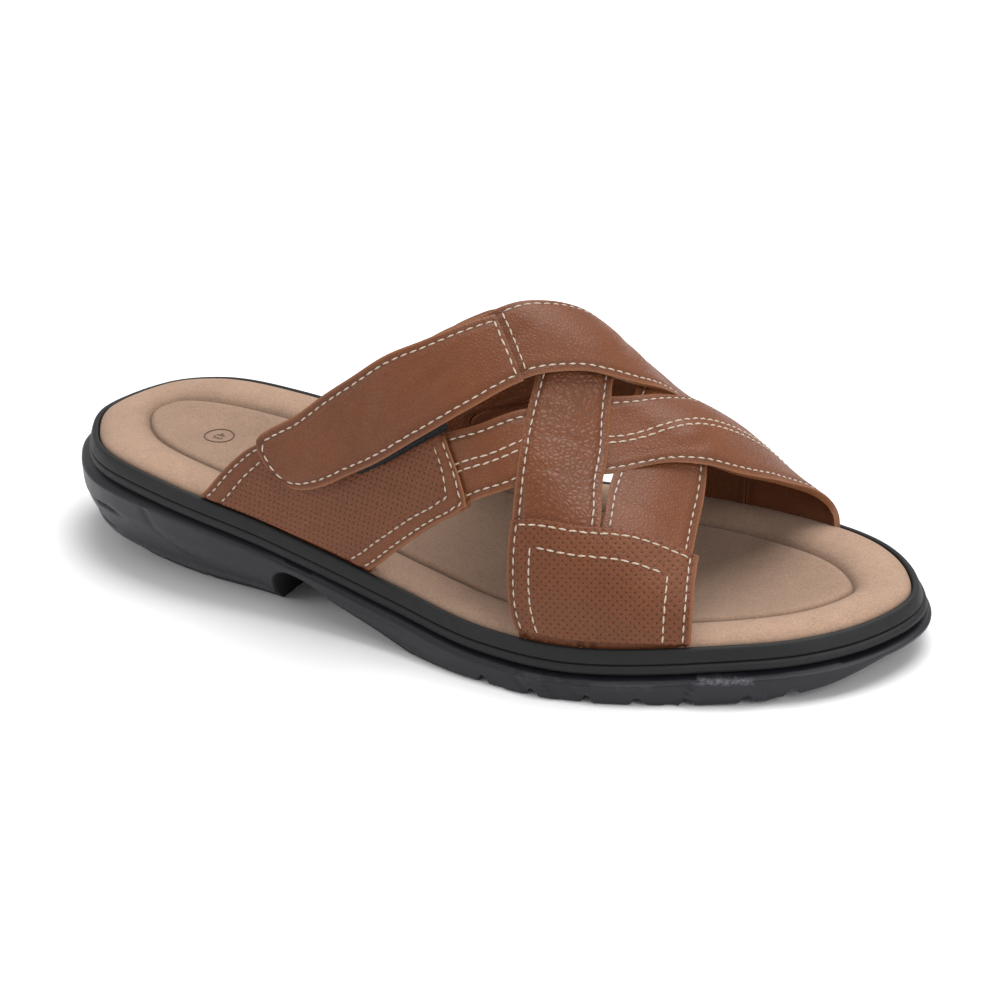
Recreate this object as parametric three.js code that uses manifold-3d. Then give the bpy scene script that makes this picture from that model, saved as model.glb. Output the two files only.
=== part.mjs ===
// A right foot's slide sandal: a moulded rubber sole, a cushioned footbed let into it, and an upper of
// four woven leather straps that closes with a flap on the outer side.
// Millimetres. +X runs from heel to toe, +Y to the inner side of the foot, +Z up, floor at z = 0.
import * as THREE from 'three';
import { mergeVertices } from 'three/addons/utils/BufferGeometryUtils.js';
import Module from 'manifold-3d';

const wasm = await Module();
wasm.setup();

// Driving sizes
const footbedLength = 280;
const ballWidth = 103;
const heelRimHeight = 34;
const instepHeight = 84;
const toeSpring = 7.5;
const clearance = 0.3;

// Leather, from the strap outwards
const strapWall = 2.0;
const patchWall = 1.3;
const tapeThickness = 1.2;
const flapWall = 1.8;
const footTuck = 4;
const ridgeRound = 0.06;
const pocketSlack = 0.35;
const crossingLift = 1.6;

// Sole unit
const footbedDepth = 6;
const rimCrown = 0.5;
const bandHeight = 2.8;
const bandFlare = 3.1;
const ledgeHeight = 3.4;
const grooveDepth = 1.6;
const sideFlare = 6.4;
const innerFlareShare = 0.8;
const treadDepth = 2.2;
const treadWidth = 3;
const bandStep = 0.7;
const ledgeStep = 0.9;
const ledgeFlare = 1.2;
const lugProud = 0.8;
const lugDepth = 4;
const lugDrop = 2;
const heelRibDepth = 1;
const heelRibWidth = 1.2;
const heelRibInset = 0.3;
const heelRibStep = 1;

// Footbed
const borderWidth = 16;
const borderCrown = 1.9;
const seamDepth = 1.3;
const seamWidth = 1.6;
const bedDip = 1.6;
const bedRun = 4;

// How finely the curved pieces are cut
const soleStations = 44;
const strapSteps = 2;
const strapLanes = 4;
const patchSteps = 3;
const patchLanes = 7;

// The footbed's edge seen from above: shares of the length and of half the ball width
const edgeOutline = [
  { along: 0.00, inner: 0.014, outer: 0.014 },
  { along: 0.03, inner: 0.431, outer: -0.322 },
  { along: 0.09, inner: 0.567, outer: -0.633 },
  { along: 0.20, inner: 0.602, outer: -0.827 },
  { along: 0.35, inner: 0.614, outer: -0.882 },
  { along: 0.50, inner: 0.678, outer: -0.950 },
  { along: 0.62, inner: 0.876, outer: -1.052 },
  { along: 0.72, inner: 0.946, outer: -1.050 },
  { along: 0.84, inner: 0.841, outer: -0.831 },
  { along: 0.93, inner: 0.629, outer: -0.583 },
  { along: 0.98, inner: 0.357, outer: -0.276 },
  { along: 1.00, inner: 0.085, outer: 0.085 },
];

// Height of that edge above the floor, as shares of the heel rim's height
const rimProfile = [
  { along: 0.0, height: 0.99 },
  { along: 0.1, height: 1.06 },
  { along: 0.2, height: 1.02 },
  { along: 0.3, height: 0.90 },
  { along: 0.4, height: 0.74 },
  { along: 0.5, height: 0.57 },
  { along: 0.6, height: 0.45 },
  { along: 0.7, height: 0.42 },
  { along: 0.8, height: 0.44 },
  { along: 0.9, height: 0.49 },
  { along: 1.0, height: 0.52 },
];

// Side of the sole: underside as shares of the toe spring, outsets as shares of the side flare
const soleSide = [
  { along: 0.00, bottom: 0.40, ground: -0.40, low: 0.78, bulge: 1.14 },
  { along: 0.10, bottom: 0.08, ground: -1.15, low: 0.30, bulge: 0.98 },
  { along: 0.20, bottom: 0.00, ground: -1.35, low: -0.10, bulge: 0.84 },
  { along: 0.30, bottom: 0.00, ground: -1.30, low: -0.10, bulge: 0.80 },
  { along: 0.40, bottom: 0.00, ground: -0.50, low: 0.22, bulge: 0.80 },
  { along: 0.50, bottom: 0.00, ground: 0.45, low: 0.70, bulge: 0.88 },
  { along: 0.60, bottom: 0.00, ground: 0.94, low: 1.00, bulge: 1.00 },
  { along: 0.80, bottom: 0.00, ground: 0.94, low: 1.00, bulge: 1.00 },
  { along: 0.90, bottom: 0.12, ground: 0.80, low: 0.90, bulge: 0.95 },
  { along: 0.96, bottom: 0.48, ground: 0.80, low: 0.96, bulge: 0.96 },
  { along: 1.00, bottom: 1.00, ground: 0.62, low: 0.86, bulge: 0.90 },
];

// Arch cut out from under the sole: shares of the length and of the heel rim's height
const archCut = [
  { along: 0.310, height: -0.03 },
  { along: 0.320, height: 0.24 },
  { along: 0.332, height: 0.41 },
  { along: 0.348, height: 0.49 },
  { along: 0.375, height: 0.46 },
  { along: 0.400, height: 0.40 },
  { along: 0.425, height: 0.30 },
  { along: 0.460, height: 0.18 },
  { along: 0.490, height: 0.09 },
  { along: 0.515, height: 0.02 },
  { along: 0.530, height: -0.03 },
];

// Height of the foot's ridge above the footbed's edge, as shares of the instep height
const instepProfile = [
  { along: 0.214, height: 0.952 },
  { along: 0.321, height: 0.988 },
  { along: 0.429, height: 1.000 },
  { along: 0.536, height: 0.994 },
  { along: 0.607, height: 0.970 },
  { along: 0.661, height: 0.881 },
  { along: 0.714, height: 0.720 },
  { along: 0.768, height: 0.601 },
  { along: 0.839, height: 0.321 },
  { along: 0.911, height: 0.190 },
  { along: 0.964, height: 0.071 },
];

// Sections of the foot under the straps. ridge is how far the ridge stands to the inner side, as a share
// of half the width. Each half is a curve that leaves the edge upwards by side, and reaches the ridge
// from a shoulder at shares of that half's width and of the ridge's height.
const footSections = [
  { along: 0.214, ridge: 0.05, outSide: 0.20, outAcross: 0.55, outUp: 1.15, inSide: 0.50, inAcross: 0.49, inUp: 1.15 },
  { along: 0.464, ridge: 0.05, outSide: 0.30, outAcross: 0.53, outUp: 1.04, inSide: 0.38, inAcross: 0.69, inUp: 1.00 },
  { along: 0.607, ridge: 0.06, outSide: 0.46, outAcross: 0.49, outUp: 0.85, inSide: 0.27, inAcross: 0.89, inUp: 0.75 },
  { along: 0.714, ridge: 0.09, outSide: 0.69, outAcross: 0.45, outUp: 0.62, inSide: 0.23, inAcross: 1.12, inUp: 0.55 },
  { along: 0.839, ridge: 0.14, outSide: 0.77, outAcross: 0.39, outUp: 0.50, inSide: 0.20, inAcross: 1.28, inUp: 0.50 },
  { along: 0.964, ridge: 0.16, outSide: 0.86, outAcross: 0.37, outUp: 0.50, inSide: 0.20, inAcross: 1.30, inUp: 0.50 },
];

// Straps. A row is a cut across the strap, from its rear edge to its front edge: along is a share of the
// length, around runs from 0 at the outer edge of the footbed to 1 at the inner edge, below 0 or above 1
// it goes down beside the footbed. The lifts are shares of the crossing lift, above the foot.
const rearCross = [
  { rear: [0.286, 1.05], front: [0.4330, 1.05], lift: [0, 0] },
  { rear: [0.286, 1.00], front: [0.4330, 1.00], lift: [0, 0] },
  { rear: [0.307, 0.965], front: [0.4330, 0.960], lift: [0, 0] },
  { rear: [0.339, 0.925], front: [0.4360, 0.930], lift: [0, 0] },
  { rear: [0.379, 0.860], front: [0.482, 0.860], lift: [0, 0] },
  { rear: [0.414, 0.810], front: [0.514, 0.810], lift: [0, 0] },
  { rear: [0.443, 0.770], front: [0.543, 0.760], lift: [0, 0] },
  { rear: [0.471, 0.730], front: [0.571, 0.715], lift: [0, 0] },
  { rear: [0.504, 0.680], front: [0.596, 0.680], lift: [0, 0] },
  { rear: [0.536, 0.640], front: [0.618, 0.650], lift: [-0.2, -0.3] },
  { rear: [0.564, 0.600], front: [0.639, 0.620], lift: [-0.6, -0.7] },
  { rear: [0.593, 0.560], front: [0.661, 0.580], lift: [-1.0, -1.1] },
  { rear: [0.614, 0.500], front: [0.682, 0.520], lift: [-1.1, -1.3] },
  { rear: [0.625, 0.430], front: [0.693, 0.460], lift: [-1.4, -1.9] },
  { rear: [0.629, 0.370], front: [0.700, 0.420], lift: [-1.8, -1.9] },
  { rear: [0.632, 0.310], front: [0.711, 0.360], lift: [-1.3, -1.3] },
  { rear: [0.636, 0.260], front: [0.718, 0.300], lift: [-0.6, -0.6] },
  { rear: [0.643, 0.190], front: [0.732, 0.220], lift: [0, 0] },
  { rear: [0.650, 0.120], front: [0.738, 0.120], lift: [0, 0] },
  { rear: [0.657, 0.050], front: [0.739, 0.050], lift: [0, 0] },
  { rear: [0.661, 0.000], front: [0.739, 0.000], lift: [0, 0] },
  { rear: [0.661, -0.05], front: [0.739, -0.05], lift: [0, 0] },
];

const frontCross = [
  { rear: [0.4300, 1.05], front: [0.507, 1.05], lift: [0, 0] },
  { rear: [0.4300, 1.00], front: [0.507, 1.00], lift: [0, 0] },
  { rear: [0.4300, 0.960], front: [0.521, 0.965], lift: [0, 0] },
  { rear: [0.4340, 0.930], front: [0.539, 0.940], lift: [0, 0] },
  { rear: [0.489, 0.865], front: [0.575, 0.890], lift: [0, 0] },
  { rear: [0.514, 0.830], front: [0.604, 0.840], lift: [0, 0] },
  { rear: [0.546, 0.780], front: [0.636, 0.795], lift: [0, 0] },
  { rear: [0.575, 0.740], front: [0.661, 0.750], lift: [0.1, 0.1] },
  { rear: [0.600, 0.700], front: [0.686, 0.700], lift: [0.2, 0.2] },
  { rear: [0.629, 0.660], front: [0.707, 0.660], lift: [0.2, 0.2] },
  { rear: [0.654, 0.620], front: [0.736, 0.620], lift: [0, -0.3] },
  { rear: [0.679, 0.585], front: [0.757, 0.570], lift: [-0.5, -0.9] },
  { rear: [0.696, 0.540], front: [0.775, 0.520], lift: [-1.5, -1.2] },
  { rear: [0.711, 0.480], front: [0.789, 0.470], lift: [-2.4, -1.6] },
  { rear: [0.718, 0.420], front: [0.800, 0.410], lift: [-2.6, -1.9] },
  { rear: [0.721, 0.360], front: [0.807, 0.350], lift: [-2.3, -1.9] },
  { rear: [0.725, 0.300], front: [0.814, 0.280], lift: [-1.5, -1.5] },
  { rear: [0.734, 0.220], front: [0.821, 0.200], lift: [-0.5, -0.5] },
  { rear: [0.736, 0.120], front: [0.832, 0.110], lift: [0, 0] },
  { rear: [0.737, 0.050], front: [0.836, 0.050], lift: [0, 0] },
  { rear: [0.737, 0.000], front: [0.836, 0.000], lift: [0, 0] },
  { rear: [0.737, -0.05], front: [0.836, -0.05], lift: [0, 0] },
];

const topStrap = [
  { rear: [0.664, 1.05], front: [0.745, 1.05], lift: [0, 0] },
  { rear: [0.664, 1.00], front: [0.745, 1.00], lift: [0, 0] },
  { rear: [0.661, 0.960], front: [0.7465, 0.960], lift: [0, 0] },
  { rear: [0.657, 0.910], front: [0.7475, 0.900], lift: [0, 0] },
  { rear: [0.654, 0.860], front: [0.7485, 0.850], lift: [-0.2, -0.1] },
  { rear: [0.650, 0.780], front: [0.748, 0.760], lift: [-0.9, -0.9] },
  { rear: [0.646, 0.700], front: [0.743, 0.690], lift: [-1.1, -1.1] },
  { rear: [0.643, 0.630], front: [0.736, 0.630], lift: [-1.0, -1.1] },
  { rear: [0.636, 0.585], front: [0.721, 0.560], lift: [-0.4, -0.8] },
  { rear: [0.621, 0.540], front: [0.709, 0.505], lift: [-0.1, -0.1] },
  { rear: [0.604, 0.500], front: [0.689, 0.465], lift: [0, 0.2] },
  { rear: [0.582, 0.465], front: [0.664, 0.430], lift: [0, 0.2] },
  { rear: [0.557, 0.420], front: [0.632, 0.380], lift: [0, 0.2] },
  { rear: [0.532, 0.380], front: [0.604, 0.330], lift: [0.3, 0.5] },
  { rear: [0.511, 0.345], front: [0.571, 0.280], lift: [0.5, 0.9] },
];

const frontStrap = [
  { rear: [0.743, 1.05], front: [0.850, 1.05], lift: [0, 0] },
  { rear: [0.743, 1.00], front: [0.850, 1.00], lift: [0, 0] },
  { rear: [0.7445, 0.960], front: [0.852, 0.960], lift: [0, 0] },
  { rear: [0.7455, 0.900], front: [0.854, 0.880], lift: [0, 0] },
  { rear: [0.7470, 0.850], front: [0.854, 0.800], lift: [0, 0] },
  { rear: [0.750, 0.760], front: [0.854, 0.730], lift: [0, 0] },
  { rear: [0.748, 0.680], front: [0.846, 0.660], lift: [0, 0] },
  { rear: [0.743, 0.620], front: [0.836, 0.585], lift: [0.1, 0] },
  { rear: [0.732, 0.560], front: [0.825, 0.530], lift: [0.1, 0] },
  { rear: [0.721, 0.520], front: [0.811, 0.485], lift: [-0.6, 0] },
  { rear: [0.707, 0.475], front: [0.793, 0.450], lift: [-1.7, -0.1] },
  { rear: [0.689, 0.435], front: [0.771, 0.415], lift: [-2.7, -0.5] },
  { rear: [0.668, 0.390], front: [0.743, 0.375], lift: [-2.8, -1.6] },
  { rear: [0.646, 0.350], front: [0.711, 0.320], lift: [-2.5, -2.0] },
  { rear: [0.625, 0.320], front: [0.671, 0.260], lift: [-1.6, -1.5] },
  { rear: [0.589, 0.270], front: [0.639, 0.205], lift: [-0.4, -0.6] },
  { rear: [0.554, 0.240], front: [0.596, 0.165], lift: [0, 0] },
  { rear: [0.525, 0.215], front: [0.564, 0.130], lift: [0, 0] },
];

const rearBase = [
  { rear: [0.246, -0.05], front: [0.468, -0.05], lift: [0, 0] },
  { rear: [0.246, 0.000], front: [0.468, 0.000], lift: [0, 0] },
  { rear: [0.257, 0.035], front: [0.486, 0.035], lift: [0, 0] },
  { rear: [0.271, 0.065], front: [0.507, 0.065], lift: [0, 0] },
  { rear: [0.289, 0.095], front: [0.532, 0.095], lift: [0, 0] },
  { rear: [0.314, 0.125], front: [0.557, 0.122], lift: [0, 0] },
  { rear: [0.354, 0.155], front: [0.579, 0.142], lift: [0, 0] },
  { rear: [0.407, 0.185], front: [0.593, 0.158], lift: [0, 0] },
  { rear: [0.471, 0.215], front: [0.584, 0.185], lift: [0, 0] },
  { rear: [0.536, 0.243], front: [0.557, 0.232], lift: [0, 0] },
];

// The patches lie on the straps and end just above the sole's rim
const patchFoot = 0.012;
const rearPatch = [
  { rear: [0.246, patchFoot], front: [0.470, patchFoot], lift: [0, 0] },
  ...rearBase.slice(2),
];
const frontPatch = [
  { rear: [0.661, patchFoot], front: [0.838, patchFoot], lift: [0, 0] },
  { rear: [0.654, 0.040], front: [0.838, 0.050], lift: [0, 0] },
  { rear: [0.650, 0.080], front: [0.835, 0.110], lift: [0, 0] },
  { rear: [0.648, 0.120], front: [0.829, 0.170], lift: [0, 0] },
  { rear: [0.647, 0.158], front: [0.819, 0.255], lift: [0, 0] },
];

// The flap climbs from the strap that it is sewn to on to the tape. Its lifts are shares of its full lift.
const flap = [
  { rear: [0.575, 0.430], front: [0.625, 0.360], lift: [0.42, 0.44] },
  { rear: [0.543, 0.385], front: [0.589, 0.295], lift: [0.60, 0.72] },
  { rear: [0.511, 0.340], front: [0.557, 0.250], lift: [0.78, 0.94] },
  { rear: [0.475, 0.300], front: [0.521, 0.210], lift: [0.92, 1] },
  { rear: [0.443, 0.260], front: [0.486, 0.175], lift: [1, 1] },
  { rear: [0.411, 0.225], front: [0.450, 0.145], lift: [1, 1] },
  { rear: [0.379, 0.190], front: [0.421, 0.120], lift: [1, 1] },
  { rear: [0.350, 0.165], front: [0.393, 0.103], lift: [1, 1] },
  { rear: [0.334, 0.150], front: [0.373, 0.100], lift: [1, 1] },
  { rear: [0.326, 0.141], front: [0.355, 0.106], lift: [1, 1] },
];
const tape = [
  { rear: [0.386, 0.165], front: [0.416, 0.110], lift: [0, 0] },
  { rear: [0.421, 0.183], front: [0.454, 0.136], lift: [0, 0] },
  { rear: [0.457, 0.200], front: [0.490, 0.167], lift: [0, 0] },
  { rear: [0.493, 0.218], front: [0.525, 0.200], lift: [0, 0] },
];

// Value of one column at a place along, on a smooth curve through the rows
function column(rows, key, along) {
  const last = rows.length - 1;
  const at = Math.min(Math.max(along, rows[0].along), rows[last].along);
  let i = 0;
  while (i < last - 1 && rows[i + 1].along < at) i += 1;
  const slope = (j) => {
    const a = Math.max(j - 1, 0);
    const b = Math.min(j + 1, last);
    return (rows[b][key] - rows[a][key]) / (rows[b].along - rows[a].along);
  };
  const span = rows[i + 1].along - rows[i].along;
  const t = (at - rows[i].along) / span;
  const rise = rows[i + 1][key] - rows[i][key];
  const start = slope(i) * span;
  const end = slope(i + 1) * span;
  return rows[i][key] + t * (start + t * (3 * rise - 2 * start - end + t * (start + end - 2 * rise)));
}

// The edge as one closed curve: outer side from heel to toe, then the inner side back
const halfBall = ballWidth / 2;
const edgeCurve = new THREE.CatmullRomCurve3(
  [
    ...edgeOutline.map((row) => new THREE.Vector3(row.along * footbedLength, row.outer * halfBall, 0)),
    ...edgeOutline.slice(1, -1).reverse()
      .map((row) => new THREE.Vector3(row.along * footbedLength, row.inner * halfBall, 0)),
  ],
  true,
  'centripetal',
);
const edgeSamples = 480;
const edgeHalf = edgeSamples / 2;
const edgePoints = Array.from({ length: edgeSamples }, (_, i) => edgeCurve.getPoint(i / edgeSamples));

// Where the edge lies across the foot, at a distance x from the heel
function edgeAcross(x, inner) {
  let i = 0;
  const pick = (k) => edgePoints[inner ? (edgeSamples - k) % edgeSamples : k];
  while (i < edgeHalf - 1 && pick(i + 1).x < x) i += 1;
  const a = pick(i);
  const b = pick(i + 1);
  return a.y + ((b.y - a.y) * (x - a.x)) / (b.x - a.x);
}

function rimHeight(x) {
  return heelRimHeight * column(rimProfile, 'height', x / footbedLength);
}

// A point on the foot's skin, by the place along and around, before its ridge is rounded
function sharpSkin(along, around) {
  const x = along * footbedLength;
  const outer = edgeAcross(x, false);
  const inner = edgeAcross(x, true);
  const half = (inner - outer) / 2;
  const ridge = outer + half * (1 + column(footSections, 'ridge', along));
  const isOuter = around <= 0.5;
  const side = column(footSections, isOuter ? 'outSide' : 'inSide', along);
  const shoulder = column(footSections, isOuter ? 'outAcross' : 'inAcross', along);
  const up = column(footSections, isOuter ? 'outUp' : 'inUp', along);
  const t = Math.max(isOuter ? 2 * around : 2 * (1 - around), 0);
  const tuck = Math.max(-around, around - 1, 0) / 0.05;
  const s = 1 - t;
  const across = s * s * s + 3 * t * s * s + 3 * t * t * s * shoulder;
  const lift = 3 * t * s * s * side + 3 * t * t * s * up + t * t * t;
  const reach = isOuter ? outer - ridge : inner - ridge;
  const height = rimHeight(x) + instepHeight * column(instepProfile, 'height', along) * lift;
  return new THREE.Vector3(x, ridge + reach * across, height - footTuck * tuck);
}

// The same point with the ridge rounded off between the two halves
function footSkin(along, around) {
  if (Math.abs(around - 0.5) >= ridgeRound) return sharpSkin(along, around);
  const s = (around - 0.5 + ridgeRound) / (2 * ridgeRound);
  const a = sharpSkin(along, 0.5 - ridgeRound);
  const b = sharpSkin(along, 0.5);
  const c = sharpSkin(along, 0.5 + ridgeRound);
  a.multiplyScalar((1 - s) * (1 - s));
  b.multiplyScalar(2 * s * (1 - s));
  return a.add(b).addScaledVector(c, s * s);
}

function footNormal(along, around) {
  const step = 0.002;
  const byLength = footSkin(along + step, around).sub(footSkin(along - step, around));
  const byTurn = footSkin(along, around + step).sub(footSkin(along, around - step));
  return byLength.cross(byTurn).normalize();
}

// Closed mesh to a solid, with its faces turned outwards
function solid(vertices, triangles) {
  let volume = 0;
  for (const [a, b, c] of triangles) {
    volume += vertices[a].dot(vertices[b].clone().cross(vertices[c]));
  }
  const faces = volume < 0 ? triangles.map(([a, b, c]) => [a, c, b]) : triangles;
  const mesh = new wasm.Mesh({
    numProp: 3,
    vertProperties: new Float32Array(vertices.flatMap((v) => [v.x, v.y, v.z])),
    triVerts: new Uint32Array(faces.flat()),
  });
  return new wasm.Manifold(mesh);
}

function solidFromGeometry(geometry) {
  const plain = geometry.clone();
  plain.deleteAttribute('normal');
  plain.deleteAttribute('uv');
  const merged = mergeVertices(plain, 1e-4);
  const place = merged.attributes.position;
  const vertices = Array.from({ length: place.count }, (_, i) => new THREE.Vector3().fromBufferAttribute(place, i));
  const index = Array.from(merged.index.array);
  const triangles = [];
  for (let i = 0; i < index.length; i += 3) triangles.push(index.slice(i, i + 3));
  return solid(vertices, triangles);
}

// Smooth value between rows of a strap, by position in the table
function between(rows, pick, t) {
  const i = Math.min(Math.floor(t), rows.length - 2);
  const f = t - i;
  const p = (k) => pick(rows[Math.min(Math.max(k, 0), rows.length - 1)]);
  const a = p(i);
  const b = p(i + 1);
  const m = (b - p(i - 1)) / 2;
  const n = (p(i + 2) - a) / 2;
  return a + f * (m + f * (3 * (b - a) - 2 * m - n + f * (m + n - 2 * (b - a))));
}

// A band of leather laid on the foot along the rows of its table. base is the lift of its outer face,
// liftUnit scales the table's lifts, and grow widens it all round, for the pocket that it sits in.
function band(rows, options) {
  const { base = 0, wall, liftUnit = crossingLift, grow = 0, rowSteps = strapSteps, lanes = strapLanes } = options;
  const steps = (rows.length - 1) * rowSteps;
  const vertices = [];
  const triangles = [];
  const widen = grow / footbedLength;
  for (let j = 0; j <= steps; j += 1) {
    const t = j / rowSteps;
    const rearAlong = between(rows, (r) => r.rear[0], t) - widen;
    const frontAlong = between(rows, (r) => r.front[0], t) + widen;
    const rearAround = between(rows, (r) => r.rear[1], t);
    const frontAround = between(rows, (r) => r.front[1], t);
    const rearLift = between(rows, (r) => r.lift[0], t);
    const frontLift = between(rows, (r) => r.lift[1], t);
    for (let i = 0; i <= lanes; i += 1) {
      const f = i / lanes;
      const along = rearAlong + (frontAlong - rearAlong) * f;
      const around = rearAround + (frontAround - rearAround) * f;
      const lift = base + liftUnit * (rearLift + (frontLift - rearLift) * f);
      const skin = footSkin(along, around);
      const normal = footNormal(along, around);
      if (Math.abs(around - 0.5) > 0.549) skin.z -= grow;
      vertices.push(skin.clone().addScaledVector(normal, lift + grow));
      vertices.push(skin.clone().addScaledVector(normal, lift - wall - grow));
    }
  }
  const width = lanes + 1;
  const at = (j, i, face) => 2 * (j * width + i) + face;
  const quad = (a, b, c, d) => triangles.push([a, b, c], [a, c, d]);
  for (let j = 0; j < steps; j += 1) {
    for (let i = 0; i < lanes; i += 1) {
      quad(at(j, i, 0), at(j, i + 1, 0), at(j + 1, i + 1, 0), at(j + 1, i, 0));
      quad(at(j, i, 1), at(j + 1, i, 1), at(j + 1, i + 1, 1), at(j, i + 1, 1));
    }
    quad(at(j, 0, 1), at(j, 0, 0), at(j + 1, 0, 0), at(j + 1, 0, 1));
    quad(at(j, lanes, 0), at(j, lanes, 1), at(j + 1, lanes, 1), at(j + 1, lanes, 0));
  }
  for (let i = 0; i < lanes; i += 1) {
    quad(at(0, i, 1), at(0, i + 1, 1), at(0, i + 1, 0), at(0, i, 0));
    quad(at(steps, i, 0), at(steps, i + 1, 0), at(steps, i + 1, 1), at(steps, i, 1));
  }
  return solid(vertices, triangles);
}

// A ring of points round the foot: outset from the edge, at a height worked out for each point
function edgeRing(outset, height) {
  const count = 2 * soleStations;
  const points = [];
  for (let i = 0; i < count; i += 1) {
    const t = i / count;
    const here = edgeCurve.getPoint(t);
    const way = edgeCurve.getTangent(t);
    const along = here.x / footbedLength;
    const isInner = i > soleStations;
    const out = outset(along, isInner);
    const x = here.x + way.y * out;
    const y = here.y - way.x * out;
    points.push(new THREE.Vector3(x, y, height(along)));
  }
  return points;
}

// Rings joined into one closed solid: the first ring is closed by a face looking up, the last by one down
function ringStack(rings) {
  const count = rings[0].length;
  const half = count / 2;
  const triangles = [];
  const at = (k, i) => k * count + (i % count);
  for (let k = 0; k < rings.length - 1; k += 1) {
    for (let i = 0; i < count; i += 1) {
      triangles.push([at(k, i), at(k + 1, i), at(k, i + 1)]);
      triangles.push([at(k, i + 1), at(k + 1, i), at(k + 1, i + 1)]);
    }
  }
  const cap = (k, up) => {
    for (let i = 0; i < half; i += 1) {
      const outer = [at(k, i), at(k, i + 1)];
      const inner = [at(k, count - i), at(k, count - i - 1)];
      const faces = [];
      if (i > 0) faces.push([outer[0], outer[1], inner[0]]);
      if (i < half - 1) faces.push([outer[1], inner[1], inner[0]]);
      triangles.push(...faces.map(([a, b, c]) => (up ? [a, b, c] : [a, c, b])));
    }
  };
  cap(0, true);
  cap(rings.length - 1, false);
  return solid(rings.flat(), triangles);
}

const rimAt = (along) => rimHeight(along * footbedLength);
const bottomAt = (along) => toeSpring * Math.max(column(soleSide, 'bottom', along), 0);
const flareOf = (key) => (along, isInner) => {
  const out = sideFlare * column(soleSide, key, along);
  return isInner && out > 0 ? out * innerFlareShare : out;
};
const wallTop = bandHeight + ledgeHeight + grooveDepth;
const sideLevel = (share) => (along) => {
  const low = bottomAt(along);
  return low + (rimAt(along) - wallTop - low) * share;
};
const fixed = (out) => (along, isInner) => clearance + out * (isInner ? 0.5 + innerFlareShare / 2 : 1);
const belowRim = (drop) => (along) => rimAt(along) - drop;

// A block that follows the sole's side between two places along, wider at the bottom when flared
function sideBlock({ from, to, isInner, low, high, depth, proud, slant = 0 }) {
  const columns = 6;
  const vertices = [];
  const triangles = [];
  for (let i = 0; i <= columns; i += 1) {
    const f = i / columns;
    for (const [level, pull] of [[low, 0], [high, slant]]) {
      const along = from + pull + (to - from - 2 * pull) * f;
      const x = Math.min(along, 1) * footbedLength;
      const y = edgeAcross(x, isInner);
      const side = isInner ? 1 : -1;
      const outset = flareOf('bulge')(along, isInner);
      vertices.push(new THREE.Vector3(x, y + side * (outset - depth), level));
      vertices.push(new THREE.Vector3(x, y + side * (outset + proud), level));
    }
  }
  const quad = (a, b, c, d) => triangles.push([a, b, c], [a, c, d]);
  for (let i = 0; i < columns; i += 1) {
    const a = 4 * i;
    const b = a + 4;
    quad(a, a + 1, b + 1, b);
    quad(a + 2, b + 2, b + 3, a + 3);
    quad(a, b, b + 2, a + 2);
    quad(a + 1, a + 3, b + 3, b + 1);
  }
  const end = 4 * columns;
  quad(0, 2, 3, 1);
  quad(end, end + 1, end + 3, end + 2);
  return solid(vertices, triangles);
}

// Straight groove across the underside
function treadGroove(along, halfSpan, turn) {
  const geometry = new THREE.BoxGeometry(treadWidth, 2 * halfSpan, 2 * treadDepth);
  geometry.rotateZ(turn);
  geometry.translate(along * footbedLength, 0, 0);
  return solidFromGeometry(geometry);
}

// A groove round the back of the heel
function heelRib(height, drop, sweep) {
  const count = 10;
  const points = Array.from({ length: count + 1 }, (_, i) => {
    const t = (sweep * (i / count - 0.5) + 1) % 1;
    const here = edgeCurve.getPoint(t);
    const way = edgeCurve.getTangent(t);
    const outset = sideFlare * soleSide[0].bulge - drop;
    return new THREE.Vector3(here.x + way.y * outset, here.y - way.x * outset, height);
  });
  const section = new THREE.Shape();
  section.moveTo(-heelRibWidth / 2, -heelRibDepth);
  section.lineTo(heelRibWidth / 2, -heelRibDepth);
  section.lineTo(heelRibWidth / 2, heelRibDepth);
  section.lineTo(-heelRibWidth / 2, heelRibDepth);
  const path = new THREE.CatmullRomCurve3(points);
  return solidFromGeometry(new THREE.ExtrudeGeometry(section, { steps: count, extrudePath: path }));
}

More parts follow.
